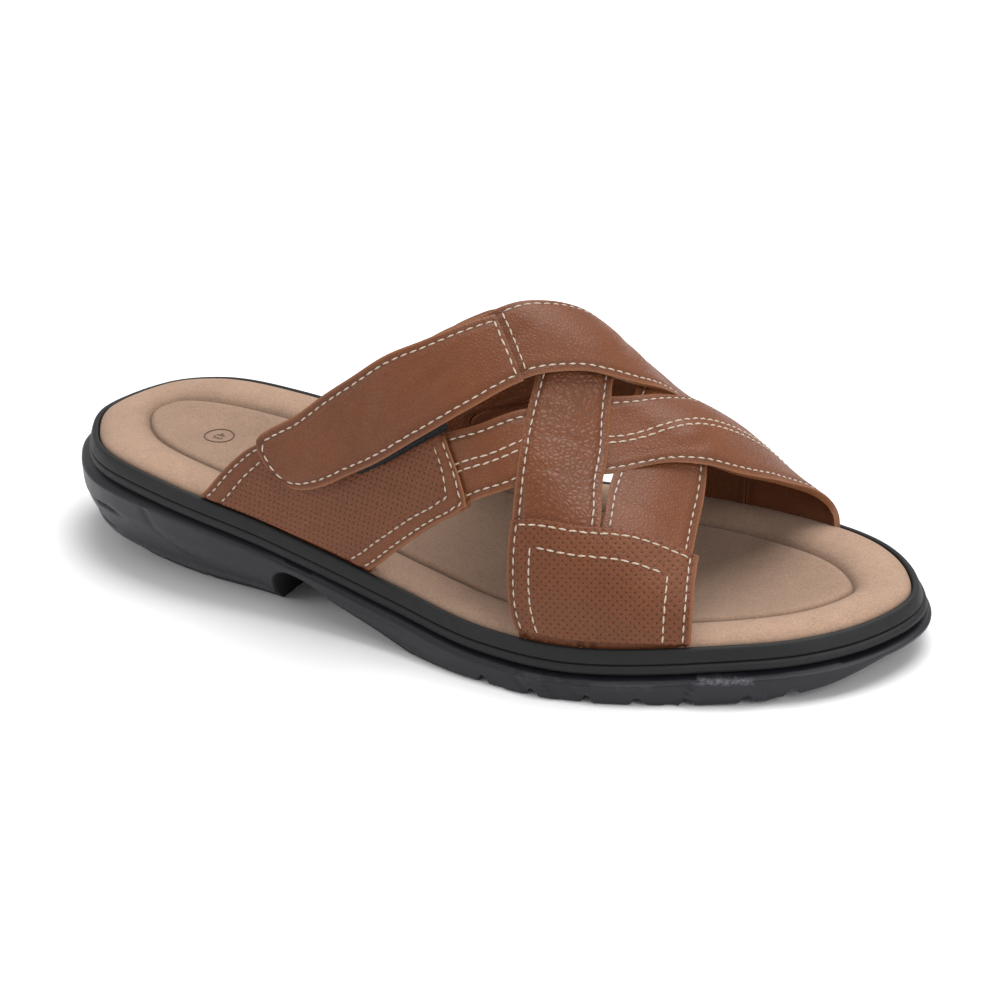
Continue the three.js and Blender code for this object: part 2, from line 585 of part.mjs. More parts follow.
function soleUnit() {
  const floorDrop = footbedDepth + clearance;
  const bandFoot = bandHeight + bandStep;
  const ledgeFoot = bandHeight + ledgeHeight;
  const ledgeOut = bandFlare + ledgeFlare;
  let body = ringStack([
    edgeRing(fixed(0), belowRim(floorDrop)),
    edgeRing(fixed(0), belowRim(0)),
    edgeRing(fixed(bandFlare * 0.2), belowRim(-rimCrown)),
    edgeRing(fixed(bandFlare * 0.45), belowRim(-rimCrown)),
    edgeRing(fixed(bandFlare), belowRim(bandHeight)),
    edgeRing(fixed(bandFlare - bandStep), belowRim(bandFoot)),
    edgeRing(fixed(ledgeOut), belowRim(bandFoot + ledgeStep)),
    edgeRing(fixed(ledgeOut), belowRim(ledgeFoot)),
    edgeRing(fixed(ledgeOut - grooveDepth), belowRim(ledgeFoot + grooveDepth * 0.4)),
    edgeRing(flareOf('bulge'), sideLevel(1)),
    edgeRing(flareOf('bulge'), sideLevel(0.72)),
    edgeRing(flareOf('low'), sideLevel(0.3)),
    edgeRing(flareOf('ground'), sideLevel(0)),
  ]);

  const archShape = new THREE.Shape();
  archCut.forEach((row, i) => {
    const place = [row.along * footbedLength, row.height * heelRimHeight];
    if (i === 0) archShape.moveTo(...place);
    else archShape.lineTo(...place);
  });
  const arch = new THREE.ExtrudeGeometry(archShape, { depth: 2 * ballWidth, bevelEnabled: false });
  arch.rotateX(Math.PI / 2);
  arch.translate(0, ballWidth, 0);
  body = body.subtract(solidFromGeometry(arch));

  const outerLug = { isInner: false, low: 0, depth: lugDepth, proud: lugProud, slant: 0.022 };
  const innerLug = { isInner: true, low: 0, depth: lugDepth, proud: lugProud, slant: 0.018 };
  const lugTop = rimAt(0.8) - ledgeFoot;
  body = body.add(sideBlock({ ...outerLug, from: 0.822, to: 0.912, high: lugTop }));
  body = body.add(sideBlock({ ...outerLug, from: 0.655, to: 0.700, high: lugTop - lugDrop }));
  body = body.add(sideBlock({ ...innerLug, from: 0.800, to: 0.890, high: lugTop }));
  body = body.add(sideBlock({ ...innerLug, from: 0.600, to: 0.650, high: lugTop - lugDrop }));
  for (const along of [0.60, 0.66, 0.72, 0.772, 0.82, 0.878, 0.92]) {
    body = body.subtract(treadGroove(along, ballWidth, 0.12));
  }
  for (const along of [0.09, 0.16, 0.23, 0.29]) {
    body = body.subtract(treadGroove(along, ballWidth, -0.08));
  }
  [0.62, 0.48, 0.34].forEach((share, i) => {
    const height = sideLevel(share)(0);
    body = body.subtract(heelRib(height, heelRibInset + heelRibStep * i, 0.15 - 0.01 * i));
  });
  return body;
}

function insoleBlank() {
  const crest = borderCrown;
  const inset = (distance) => () => -distance;
  return ringStack([
    edgeRing(inset(borderWidth + bedRun), belowRim(bedDip)),
    edgeRing(inset(borderWidth + seamWidth), belowRim(0.2)),
    edgeRing(inset(borderWidth), belowRim(seamDepth - 0.2)),
    edgeRing(inset(borderWidth - seamWidth), belowRim(-0.5 * crest)),
    edgeRing(inset(borderWidth * 0.6), belowRim(-crest)),
    edgeRing(inset(borderWidth * 0.3), belowRim(-crest)),
    edgeRing(inset(borderWidth * 0.1), belowRim(-0.6 * crest)),
    edgeRing(inset(0), belowRim(0.4)),
    edgeRing(inset(0), belowRim(footbedDepth)),
  ]);
}

const straps = [rearCross, frontCross, topStrap, frontStrap, rearBase];

// The straps joined where they cross. A void shut in between two of them fills with their stitching.
function upperSolid() {
  const joined = straps.map((rows) => band(rows, { wall: strapWall })).reduce((all, next) => all.add(next));
  return joined.decompose().reduce((best, next) => (next.volume() > best.volume() ? next : best));
}

// The strap ends sink into pockets in the footbed's edge
function insoleSolid() {
  const ends = [
    rearCross.slice(0, 5),
    rearCross.slice(-4),
    frontCross.slice(0, 5),
    frontCross.slice(-4),
    topStrap.slice(0, 5),
    frontStrap.slice(0, 5),
    rearBase.slice(0, 4),
  ];
  return ends.reduce(
    (bed, rows) => bed.subtract(band(rows, { wall: strapWall, grow: pocketSlack })),
    insoleBlank(),
  );
}

const patchLift = clearance + patchWall;
const tapeLift = patchLift + clearance + tapeThickness;
const flapLift = tapeLift + clearance + flapWall;

// Solid to a named mesh with its own material
function piece(name, body, material) {
  const { vertProperties, triVerts, numProp } = body.getMesh();
  const geometry = new THREE.BufferGeometry();
  const places = new Float32Array((vertProperties.length / numProp) * 3);
  for (let i = 0; i < places.length / 3; i += 1) {
    places.set(vertProperties.subarray(i * numProp, i * numProp + 3), i * 3);
  }
  geometry.setAttribute('position', new THREE.BufferAttribute(places, 3));
  geometry.setIndex(Array.from(triVerts));
  const mesh = new THREE.Mesh(geometry, new THREE.MeshStandardMaterial(material));
  mesh.name = name;
  return mesh;
}

const rubber = { color: 0x25252a, roughness: 0.6, metalness: 0 };
const suede = { color: 0xb99a7c, roughness: 0.95, metalness: 0 };
const leather = { color: 0x7e4528, roughness: 0.5, metalness: 0 };
const blackTape = { color: 0x141416, roughness: 0.9, metalness: 0 };

const sandal = new THREE.Group();
sandal.add(piece('sole_unit', soleUnit(), rubber));
sandal.add(piece('insole', insoleSolid(), suede));
sandal.add(piece('upper', upperSolid(), leather));
const patchLay = { base: patchLift, wall: patchWall, lanes: patchLanes };
sandal.add(piece('front_patch', band(frontPatch, { ...patchLay, rowSteps: patchSteps }), leather));
sandal.add(piece('rear_patch', band(rearPatch, patchLay), leather));
sandal.add(piece('hook_tape', band(tape, { base: tapeLift, wall: tapeThickness }), blackTape));
sandal.add(piece('closure_flap', band(flap, { liftUnit: flapLift, wall: flapWall }), leather));

// The origin goes to the middle of the footprint on the floor
const reach = new THREE.Box3().setFromObject(sandal);
sandal.position.set(-(reach.min.x + reach.max.x) / 2, -(reach.min.y + reach.max.y) / 2, -reach.min.z);

export default sandal;
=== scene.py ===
"""Dresses the right slide sandal: woven pebbled straps, cushioned footbed and moulded rubber sole."""
import math

import bpy
import numpy as np
from mathutils import Matrix, Vector


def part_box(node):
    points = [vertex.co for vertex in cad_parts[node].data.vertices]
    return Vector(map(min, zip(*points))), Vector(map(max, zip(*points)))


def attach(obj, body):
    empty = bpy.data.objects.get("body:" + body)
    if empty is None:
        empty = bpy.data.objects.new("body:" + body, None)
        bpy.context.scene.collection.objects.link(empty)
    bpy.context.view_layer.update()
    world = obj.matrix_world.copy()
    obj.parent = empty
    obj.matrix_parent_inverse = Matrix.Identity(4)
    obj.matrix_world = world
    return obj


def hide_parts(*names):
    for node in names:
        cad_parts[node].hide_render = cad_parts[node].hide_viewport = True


bl_info = {
    "name": "Slide sandal dresser",
    "version": (1, 0, 0),
    "blender": (4, 5, 0),
    "location": "View3D > Sidebar > Sandal",
    "description": "Builds the straps, footbed, sole and stitching of a slide sandal on its frame",
    "category": "Object",
}

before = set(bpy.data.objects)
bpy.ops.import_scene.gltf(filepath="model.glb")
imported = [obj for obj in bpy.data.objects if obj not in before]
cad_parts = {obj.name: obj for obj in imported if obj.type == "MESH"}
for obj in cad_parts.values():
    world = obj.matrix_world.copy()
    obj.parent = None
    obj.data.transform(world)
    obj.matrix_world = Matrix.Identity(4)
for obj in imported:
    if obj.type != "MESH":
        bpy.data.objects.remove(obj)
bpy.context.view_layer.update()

# Millimetres, as in the part's own source
LENGTH = 280.0
HALF_BALL = 51.5
RIM_HEIGHT = 34.0
INSTEP = 84.0
TOE_SPRING = 7.5
FIT = 0.3
FOOT_TUCK = 4.0
RIDGE_ROUND = 0.06
CROSSING_LIFT = 1.6
FOOTBED_DEPTH = 6.0
SIDE_FLARE = 6.4
INNER_SHARE = 0.8
BAND_HEIGHT = 2.8
BAND_FLARE = 3.1
LEDGE_HEIGHT = 3.4
GROOVE_DEPTH = 1.6

# along, inner, outer
EDGE_OUTLINE = (
    (0.0, 0.014, 0.014), (0.03, 0.431, -0.322), (0.09, 0.567, -0.633), (0.2, 0.602, -0.827),
    (0.35, 0.614, -0.882), (0.5, 0.678, -0.95), (0.62, 0.876, -1.052), (0.72, 0.946, -1.05),
    (0.84, 0.841, -0.831), (0.93, 0.629, -0.583), (0.98, 0.357, -0.276), (1.0, 0.085, 0.085),
)
# along, height
RIM_PROFILE = (
    (0.0, 0.99), (0.1, 1.06), (0.2, 1.02), (0.3, 0.9), (0.4, 0.74), (0.5, 0.57),
    (0.6, 0.45), (0.7, 0.42), (0.8, 0.44), (0.9, 0.49), (1.0, 0.52),
)
# along, bottom, ground, low, bulge
SOLE_SIDE = (
    (0.0, 0.4, -0.4, 0.78, 1.14), (0.1, 0.08, -1.15, 0.3, 0.98), (0.2, 0.0, -1.35, -0.1, 0.84),
    (0.3, 0.0, -1.3, -0.1, 0.8), (0.4, 0.0, -0.5, 0.22, 0.8), (0.5, 0.0, 0.45, 0.7, 0.88),
    (0.6, 0.0, 0.94, 1.0, 1.0), (0.8, 0.0, 0.94, 1.0, 1.0), (0.9, 0.12, 0.8, 0.9, 0.95),
    (0.96, 0.48, 0.8, 0.96, 0.96), (1.0, 1.0, 0.62, 0.86, 0.9),
)
# along, height
ARCH_CUT = (
    (0.322, -0.03), (0.332, 0.2), (0.344, 0.39), (0.358, 0.47), (0.378, 0.46), (0.4, 0.4),
    (0.425, 0.3), (0.46, 0.18), (0.49, 0.09), (0.515, 0.02), (0.53, -0.03),
)
# Sole side: side of the foot, start, end, height, slant, how proud, how worn
SIDE_BLOCKS = (
    ("outer", 0.822, 0.912, 8.6, 0.022, 0.8, 1.0), ("outer", 0.655, 0.712, 6.6, 0.018, 0.5, 0.25),
    ("outer", 0.735, 0.812, 6.4, 0.010, 0.35, 0.15), ("inner", 0.800, 0.890, 8.6, 0.018, 0.8, 0.8),
    ("inner", 0.600, 0.650, 6.6, 0.018, 0.6, 0.3),
)
# Creases on the outer side: points in x and z, width, depth
SIDE_CREASES = (
    (((47.6, 25.6), (48.5, 24.5), (51, 20.5), (55, 17.8), (58.5, 15), (62, 12.8), (67, 12.5)), 1.1, 0.42),
    (((183, 9), (186.5, 6.5), (190.5, 1.2)), 0.7, 0.5), (((197.5, 9), (201, 6), (206, 1.5)), 0.7, 0.45),
)
HEEL_SLITS = (
    (((15, 18.0), (22, 19.6), (30, 20.6), (38, 19.8)), 0.7, 1.5),
    (((13, 12.4), (20, 11.4), (31, 11.4)), 0.65, 1.4),
    (((15, 7.6), (21, 6.6), (30, 6.2)), 0.55, 1.1),
)
FORE_GROOVES = (0.60, 0.66, 0.72, 0.772, 0.82, 0.878, 0.92)
HEEL_GROOVES = (0.09, 0.16, 0.23)
# along, height
INSTEP_PROFILE = (
    (0.214, 0.952), (0.321, 0.988), (0.429, 1.0), (0.536, 0.994), (0.607, 0.97), (0.661, 0.881),
    (0.714, 0.72), (0.768, 0.601), (0.839, 0.321), (0.911, 0.19), (0.964, 0.071),
)
# along, ridge, outer side, outer across, outer up, inner side, inner across, inner up
FOOT_SECTIONS = (
    (0.214, 0.05, 0.2, 0.55, 1.15, 0.5, 0.49, 1.15), (0.464, 0.05, 0.3, 0.53, 1.04, 0.38, 0.69, 1.0),
    (0.607, 0.06, 0.46, 0.49, 0.85, 0.27, 0.89, 0.75), (0.714, 0.09, 0.69, 0.45, 0.62, 0.23, 1.12, 0.55),
    (0.839, 0.14, 0.77, 0.39, 0.5, 0.2, 1.28, 0.5), (0.964, 0.16, 0.86, 0.37, 0.5, 0.2, 1.3, 0.5),
)
# Straps: rear edge along and around, front edge along and around, lift at the rear and at the front
REAR_CROSS = (
    (0.286, 1.05, 0.433, 1.05, 0, 0), (0.286, 1.0, 0.433, 1.0, 0, 0), (0.307, 0.965, 0.433, 0.96, 0, 0),
    (0.339, 0.925, 0.436, 0.93, 0, 0), (0.379, 0.86, 0.504, 0.864, 0, -0.7),
    (0.414, 0.81, 0.54, 0.815, 0, -1.0),
    (0.443, 0.77, 0.57, 0.765, -0.4, -0.9), (0.471, 0.73, 0.585, 0.715, -1.0, 0),
    (0.504, 0.68, 0.606, 0.68, -1.6, -0.2),
    (0.536, 0.64, 0.624, 0.65, -1.8, -0.5), (0.564, 0.6, 0.639, 0.62, -1.8, -0.9),
    (0.593, 0.56, 0.661, 0.58, -1.6, -1.2), (0.614, 0.5, 0.682, 0.52, -1.3, -1.3),
    (0.625, 0.43, 0.693, 0.46, -1.4, -1.9), (0.629, 0.37, 0.7, 0.42, -1.8, -1.9),
    (0.632, 0.31, 0.711, 0.36, -1.3, -1.3), (0.636, 0.26, 0.718, 0.3, -0.6, -0.6),
    (0.643, 0.19, 0.732, 0.22, 0, 0), (0.65, 0.12, 0.738, 0.12, 0, 0), (0.657, 0.05, 0.739, 0.05, 0, 0),
    (0.661, 0.0, 0.739, 0.0, 0, 0), (0.661, -0.05, 0.739, -0.05, 0, 0),
)
FRONT_CROSS = (
    (0.43, 1.05, 0.507, 1.05, 0, 0), (0.43, 1.0, 0.507, 1.0, 0, 0), (0.43, 0.96, 0.521, 0.965, 0, 0),
    (0.434, 0.93, 0.539, 0.94, 0, 0), (0.489, 0.865, 0.575, 0.89, 0, 0), (0.514, 0.83, 0.604, 0.84, 0, 0),
    (0.546, 0.78, 0.636, 0.795, 0, 0), (0.575, 0.74, 0.661, 0.75, 0.1, 0.1), (0.6, 0.7, 0.686, 0.7, 0.2, 0.2),
    (0.629, 0.66, 0.707, 0.66, 0.2, 0.2), (0.654, 0.62, 0.736, 0.62, 0, -0.3),
    (0.679, 0.585, 0.757, 0.57, -0.5, -0.9), (0.696, 0.54, 0.775, 0.52, -1.5, -1.2),
    (0.711, 0.48, 0.789, 0.47, -2.4, -1.6), (0.718, 0.42, 0.8, 0.41, -2.6, -1.9),
    (0.721, 0.36, 0.807, 0.35, -2.3, -1.9), (0.725, 0.3, 0.814, 0.28, -1.5, -1.5),
    (0.734, 0.22, 0.821, 0.2, -0.5, -0.5), (0.736, 0.12, 0.832, 0.11, 0, 0),
    (0.737, 0.05, 0.836, 0.05, 0, 0), (0.737, 0.0, 0.836, 0.0, 0, 0), (0.737, -0.05, 0.836, -0.05, 0, 0),
)
TOP_STRAP = (
    (0.664, 1.05, 0.745, 1.05, 0, 0), (0.664, 1.0, 0.745, 1.0, 0, 0), (0.661, 0.96, 0.7465, 0.96, 0, 0),
    (0.657, 0.91, 0.7475, 0.9, 0, 0), (0.654, 0.86, 0.7485, 0.85, -0.2, -0.1),
    (0.65, 0.78, 0.748, 0.76, -0.9, -0.9), (0.646, 0.7, 0.743, 0.69, -1.1, -1.1),
    (0.643, 0.63, 0.736, 0.63, -0.5, -1.1), (0.636, 0.585, 0.721, 0.56, 0.8, -0.7),
    (0.621, 0.54, 0.709, 0.505, 1.5, 0.1), (0.604, 0.5, 0.689, 0.465, 1.6, 0.4),
    (0.582, 0.465, 0.664, 0.43, 1.3, 0.5), (0.557, 0.42, 0.632, 0.38, 0.4, 0.4),
    (0.532, 0.38, 0.604, 0.33, 0.3, 0.5), (0.511, 0.345, 0.571, 0.28, 0.5, 0.9),
)
FRONT_STRAP = (
    (0.743, 1.05, 0.868, 1.05, 0, 0), (0.743, 1.0, 0.868, 1.0, 0, 0), (0.7445, 0.96, 0.868, 0.96, 0, 0),
    (0.7455, 0.9, 0.866, 0.88, 0, 0), (0.747, 0.85, 0.862, 0.8, 0, 0), (0.75, 0.76, 0.857, 0.73, 0, 0),
    (0.748, 0.68, 0.846, 0.66, 0, 0), (0.743, 0.62, 0.836, 0.585, 0.1, 0), (0.732, 0.56, 0.825, 0.53, 0.1, 0),
    (0.721, 0.52, 0.811, 0.485, -0.6, 0), (0.707, 0.475, 0.793, 0.45, -1.7, -0.1),
    (0.689, 0.435, 0.771, 0.415, -2.7, -0.5), (0.668, 0.39, 0.743, 0.375, -2.8, -1.6),
    (0.646, 0.35, 0.711, 0.32, -2.5, -2.0), (0.625, 0.32, 0.671, 0.26, -1.6, -1.5),
    (0.589, 0.27, 0.639, 0.205, -0.4, -0.6), (0.554, 0.24, 0.596, 0.165, 0, 0),
    (0.525, 0.215, 0.564, 0.13, 0, 0),
)
REAR_BASE = (
    (0.246, -0.05, 0.468, -0.05, 0, 0), (0.246, 0.0, 0.468, 0.0, 0, 0), (0.257, 0.035, 0.486, 0.035, 0, 0),
    (0.271, 0.065, 0.507, 0.065, 0, 0), (0.289, 0.095, 0.532, 0.095, 0, 0),
    (0.314, 0.125, 0.557, 0.122, 0, 0),
    (0.354, 0.155, 0.579, 0.142, 0, 0), (0.407, 0.185, 0.593, 0.158, 0, 0),
    (0.471, 0.215, 0.584, 0.185, 0, 0),
    (0.536, 0.243, 0.557, 0.232, 0, 0),
)
REAR_PATCH = ((0.246, 0.012, 0.47, 0.012, 0, 0),) + REAR_BASE[2:7] + (
    (0.392, 0.177, 0.5905, 0.1545, 0, 0), (0.407, 0.185, 0.5935, 0.1585, 0, 0),
) + REAR_BASE[8:]
FRONT_PATCH = (
    (0.661, 0.012, 0.838, 0.012, 0, 0), (0.654, 0.04, 0.838, 0.05, 0, 0), (0.65, 0.08, 0.835, 0.11, 0, 0),
    (0.648, 0.12, 0.829, 0.17, 0, 0), (0.647, 0.158, 0.819, 0.255, 0, 0),
)
FLAP = (
    (0.5715, 0.425, 0.621, 0.353, 0.56, 0.5), (0.543, 0.385, 0.589, 0.295, 0.6, 0.72),
    (0.511, 0.34, 0.557, 0.25, 0.78, 0.94), (0.475, 0.3, 0.521, 0.21, 0.92, 1),
    (0.443, 0.26, 0.486, 0.175, 1, 1),
    (0.411, 0.225, 0.45, 0.145, 1, 1), (0.379, 0.19, 0.421, 0.12, 1, 1), (0.35, 0.165, 0.393, 0.103, 1, 1),
    (0.334, 0.15, 0.373, 0.1, 1, 1), (0.326, 0.141, 0.355, 0.106, 1, 1),
)
TAPE = (
    (0.433, 0.197, 0.458, 0.1485, 0, 0), (0.469, 0.228, 0.4945, 0.1795, 0, 0),
    (0.505, 0.264, 0.53, 0.215, 0, 0), (0.534, 0.295, 0.559, 0.246, 0, 0),
)


# Sizes and colours that a user would change

class SandalSizes(bpy.types.PropertyGroup):
    """Sizes of the dressed sandal"""
    strap_thickness: bpy.props.FloatProperty(
        name="Strap thickness", description="Thickness of the strap leather with its lining",
        default=0.0020, unit="LENGTH")
    patch_thickness: bpy.props.FloatProperty(
        name="Patch thickness", description="Thickness of the perforated patches",
        default=0.0013, unit="LENGTH")
    tape_thickness: bpy.props.FloatProperty(
        name="Tape thickness", description="Thickness of the hook-and-loop tape",
        default=0.0012, unit="LENGTH")
    flap_thickness: bpy.props.FloatProperty(
        name="Flap thickness", description="Thickness of the closing flap",
        default=0.0018, unit="LENGTH")
    stitch_pitch: bpy.props.FloatProperty(
        name="Stitch pitch", description="Distance from one stitch to the next",
        default=0.0030, unit="LENGTH")
    stitch_length: bpy.props.FloatProperty(
        name="Stitch length", description="Length of one stitch that shows",
        default=0.0022, unit="LENGTH")
    stitch_width: bpy.props.FloatProperty(
        name="Stitch width", description="Thickness of the thread",
        default=0.00062, unit="LENGTH")
    border_width: bpy.props.FloatProperty(
        name="Footbed border", description="Width of the puffed border round the footbed",
        default=0.0160, unit="LENGTH")
    seam_depth: bpy.props.FloatProperty(
        name="Footbed seam depth", description="Depth of the seam inside the border",
        default=0.0012, unit="LENGTH")


class SandalColours(bpy.types.PropertyGroup):
    """Colours of the dressed sandal"""
    leather: bpy.props.FloatVectorProperty(
        name="Leather", description="Cognac leather in the open", subtype="COLOR", size=3,
        default=(0.158, 0.049, 0.0165), min=0, max=1)
    leather_deep: bpy.props.FloatVectorProperty(
        name="Leather in its creases", description="Darker tone between the pebbles", subtype="COLOR",
        size=3, default=(0.070, 0.020, 0.007), min=0, max=1)
    raw_edge: bpy.props.FloatVectorProperty(
        name="Raw edge", description="Cut edge of the straps", subtype="COLOR", size=3,
        default=(0.30, 0.125, 0.055), min=0, max=1)
    lining: bpy.props.FloatVectorProperty(
        name="Lining", description="Lining on the inside of the straps", subtype="COLOR", size=3,
        default=(0.32, 0.215, 0.14), min=0, max=1)
    thread: bpy.props.FloatVectorProperty(
        name="Thread", description="Off-white thread", subtype="COLOR", size=3,
        default=(0.55, 0.46, 0.36), min=0, max=1)
    suede: bpy.props.FloatVectorProperty(
        name="Footbed", description="Tan napped footbed cover", subtype="COLOR", size=3,
        default=(0.325, 0.213, 0.150), min=0, max=1)
    rubber: bpy.props.FloatVectorProperty(
        name="Rubber", description="Black moulded rubber", subtype="COLOR", size=3,
        default=(0.0085, 0.0082, 0.0102), min=0, max=1)
    tape: bpy.props.FloatVectorProperty(
        name="Tape", description="Hook-and-loop tape", subtype="COLOR", size=3,
        default=(0.008, 0.008, 0.009), min=0, max=1)
    floor: bpy.props.FloatVectorProperty(
        name="Floor", description="Plain pale floor", subtype="COLOR", size=3,
        default=(0.92, 0.92, 0.93), min=0, max=1)


def sizes():
    return bpy.context.scene.sandal_sizes


def colours():
    return bpy.context.scene.sandal_colours


# The shape of the foot, as the part's source has it

def column(rows, index, along):
    """Value of one column at a place along, on a smooth curve through the rows"""
    table = np.array(rows, float)
    x, y = table[:, 0], table[:, index]
    n = len(x)
    at = np.clip(along, x[0], x[-1])
    i = np.clip(np.searchsorted(x, at, side="left") - 1, 0, n - 2)
    low, high = np.maximum(np.arange(n) - 1, 0), np.minimum(np.arange(n) + 1, n - 1)
    slope = (y[high] - y[low]) / (x[high] - x[low])
    span = x[i + 1] - x[i]
    t = (at - x[i]) / span
    rise = y[i + 1] - y[i]
    start, end = slope[i] * span, slope[i + 1] * span
    return y[i] + t * (start + t * (3 * rise - 2 * start - end + t * (start + end - 2 * rise)))


def closed_curve(points, count):
    """Points spaced evenly by parameter on a closed centripetal curve through the given points"""
    n = len(points)
    out = []
    for k in range(count):
        p = n * k / count
        i, w = int(p), p - int(p)
        a, b, c, d = (points[(i + o) % n] for o in (-1, 0, 1, 2))
        gaps = [math.sqrt(np.linalg.norm(q - p0)) for p0, q in ((a, b), (b, c), (c, d))]
        t1 = (b - a) / gaps[0] - (c - a) / (gaps[0] + gaps[1]) + (c - b) / gaps[1]
        t2 = (c - b) / gaps[1] - (d - b) / (gaps[1] + gaps[2]) + (d - c) / gaps[2]
        t1, t2 = t1 * gaps[1], t2 * gaps[1]
        out.append(b + w * (t1 + w * (-3 * b + 3 * c - 2 * t1 - t2 + w * (2 * b - 2 * c + t1 + t2))))
    return np.array(out)


EDGE_POINTS = [np.array((a * LENGTH, outer * HALF_BALL)) for a, inner, outer in EDGE_OUTLINE]
EDGE_POINTS += [np.array((a * LENGTH, inner * HALF_BALL)) for a, inner, outer in EDGE_OUTLINE[-2:0:-1]]
EDGE = closed_curve(EDGE_POINTS, 1920)
OUTER_EDGE = EDGE[:961]
INNER_EDGE = np.vstack([EDGE[:1], EDGE[:959:-1]])

# Where the working place of the tables lies in the row frame, from the footbed's own box
FOOTBED_LOW, FOOTBED_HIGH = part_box("insole")
SHIFT = np.array((FOOTBED_LOW.x * 1000 - EDGE[:, 0].min(), FOOTBED_HIGH.y * 1000 - EDGE[:, 1].max(), 0.0))


def to_row(points):
    """Working millimetres to metres in the row frame"""
    return (np.asarray(points, float) + SHIFT) / 1000.0


def edge_across(x, inner):
    side = INNER_EDGE if inner else OUTER_EDGE
    return np.interp(x, side[:, 0], side[:, 1])


def rim_height(x):
    return RIM_HEIGHT * column(RIM_PROFILE, 1, np.asarray(x) / LENGTH)


def sharp_skin(along, around):
    x = along * LENGTH
    outer, inner = edge_across(x, False), edge_across(x, True)
    ridge = outer + (inner - outer) / 2 * (1 + column(FOOT_SECTIONS, 1, along))
    is_outer = around <= 0.5
    side, shoulder, up = (
        np.where(is_outer, column(FOOT_SECTIONS, k, along), column(FOOT_SECTIONS, k + 3, along)) for k in (2, 3, 4))
    t = np.maximum(np.where(is_outer, 2 * around, 2 * (1 - around)), 0)
    tuck = np.maximum(np.maximum(-around, around - 1), 0) / 0.05
    s = 1 - t
    across = s ** 3 + 3 * t * s * s + 3 * t * t * s * shoulder
    lift = 3 * t * s * s * side + 3 * t * t * s * up + t ** 3
    reach = np.where(is_outer, outer - ridge, inner - ridge)
    height = rim_height(x) + INSTEP * column(INSTEP_PROFILE, 1, along) * lift - FOOT_TUCK * tuck
    return np.stack([x, ridge + reach * across, height], -1)


def foot_skin(along, around):
    """Points on the foot's skin, by the places along and around"""
    along, around = np.broadcast_arrays(np.asarray(along, float), np.asarray(around, float))
    plain = sharp_skin(along, around)
    s = np.clip((around - 0.5 + RIDGE_ROUND) / (2 * RIDGE_ROUND), 0, 1)[..., None]
    a, b, c = (sharp_skin(along, np.full_like(along, 0.5 + o)) for o in (-RIDGE_ROUND, 0, RIDGE_ROUND))
    rounded = (1 - s) ** 2 * a + 2 * s * (1 - s) * b + s * s * c
    return np.where((np.abs(around - 0.5) < RIDGE_ROUND)[..., None], rounded, plain)


def foot_normal(along, around):
    h = 0.002
    by_length = foot_skin(along + h, around) - foot_skin(along - h, around)
    by_turn = foot_skin(along, around + h) - foot_skin(along, around - h)
    n = np.cross(by_length, by_turn)
    return n / np.linalg.norm(n, axis=-1, keepdims=True)


def between(rows, t):
    """All columns of a strap's table at positions t, on smooth curves through its rows"""
    table = np.array(rows, float)
    last = len(table) - 1
    i = np.minimum(np.floor(t).astype(int), last - 1)
    f = (t - i)[..., None]
    a, b = table[i], table[i + 1]
    m = (b - table[np.maximum(i - 1, 0)]) / 2
    n = (table[np.minimum(i + 2, last)] - a) / 2
    return a + f * (m + f * (3 * (b - a) - 2 * m - n + f * (m + n - 2 * (b - a))))


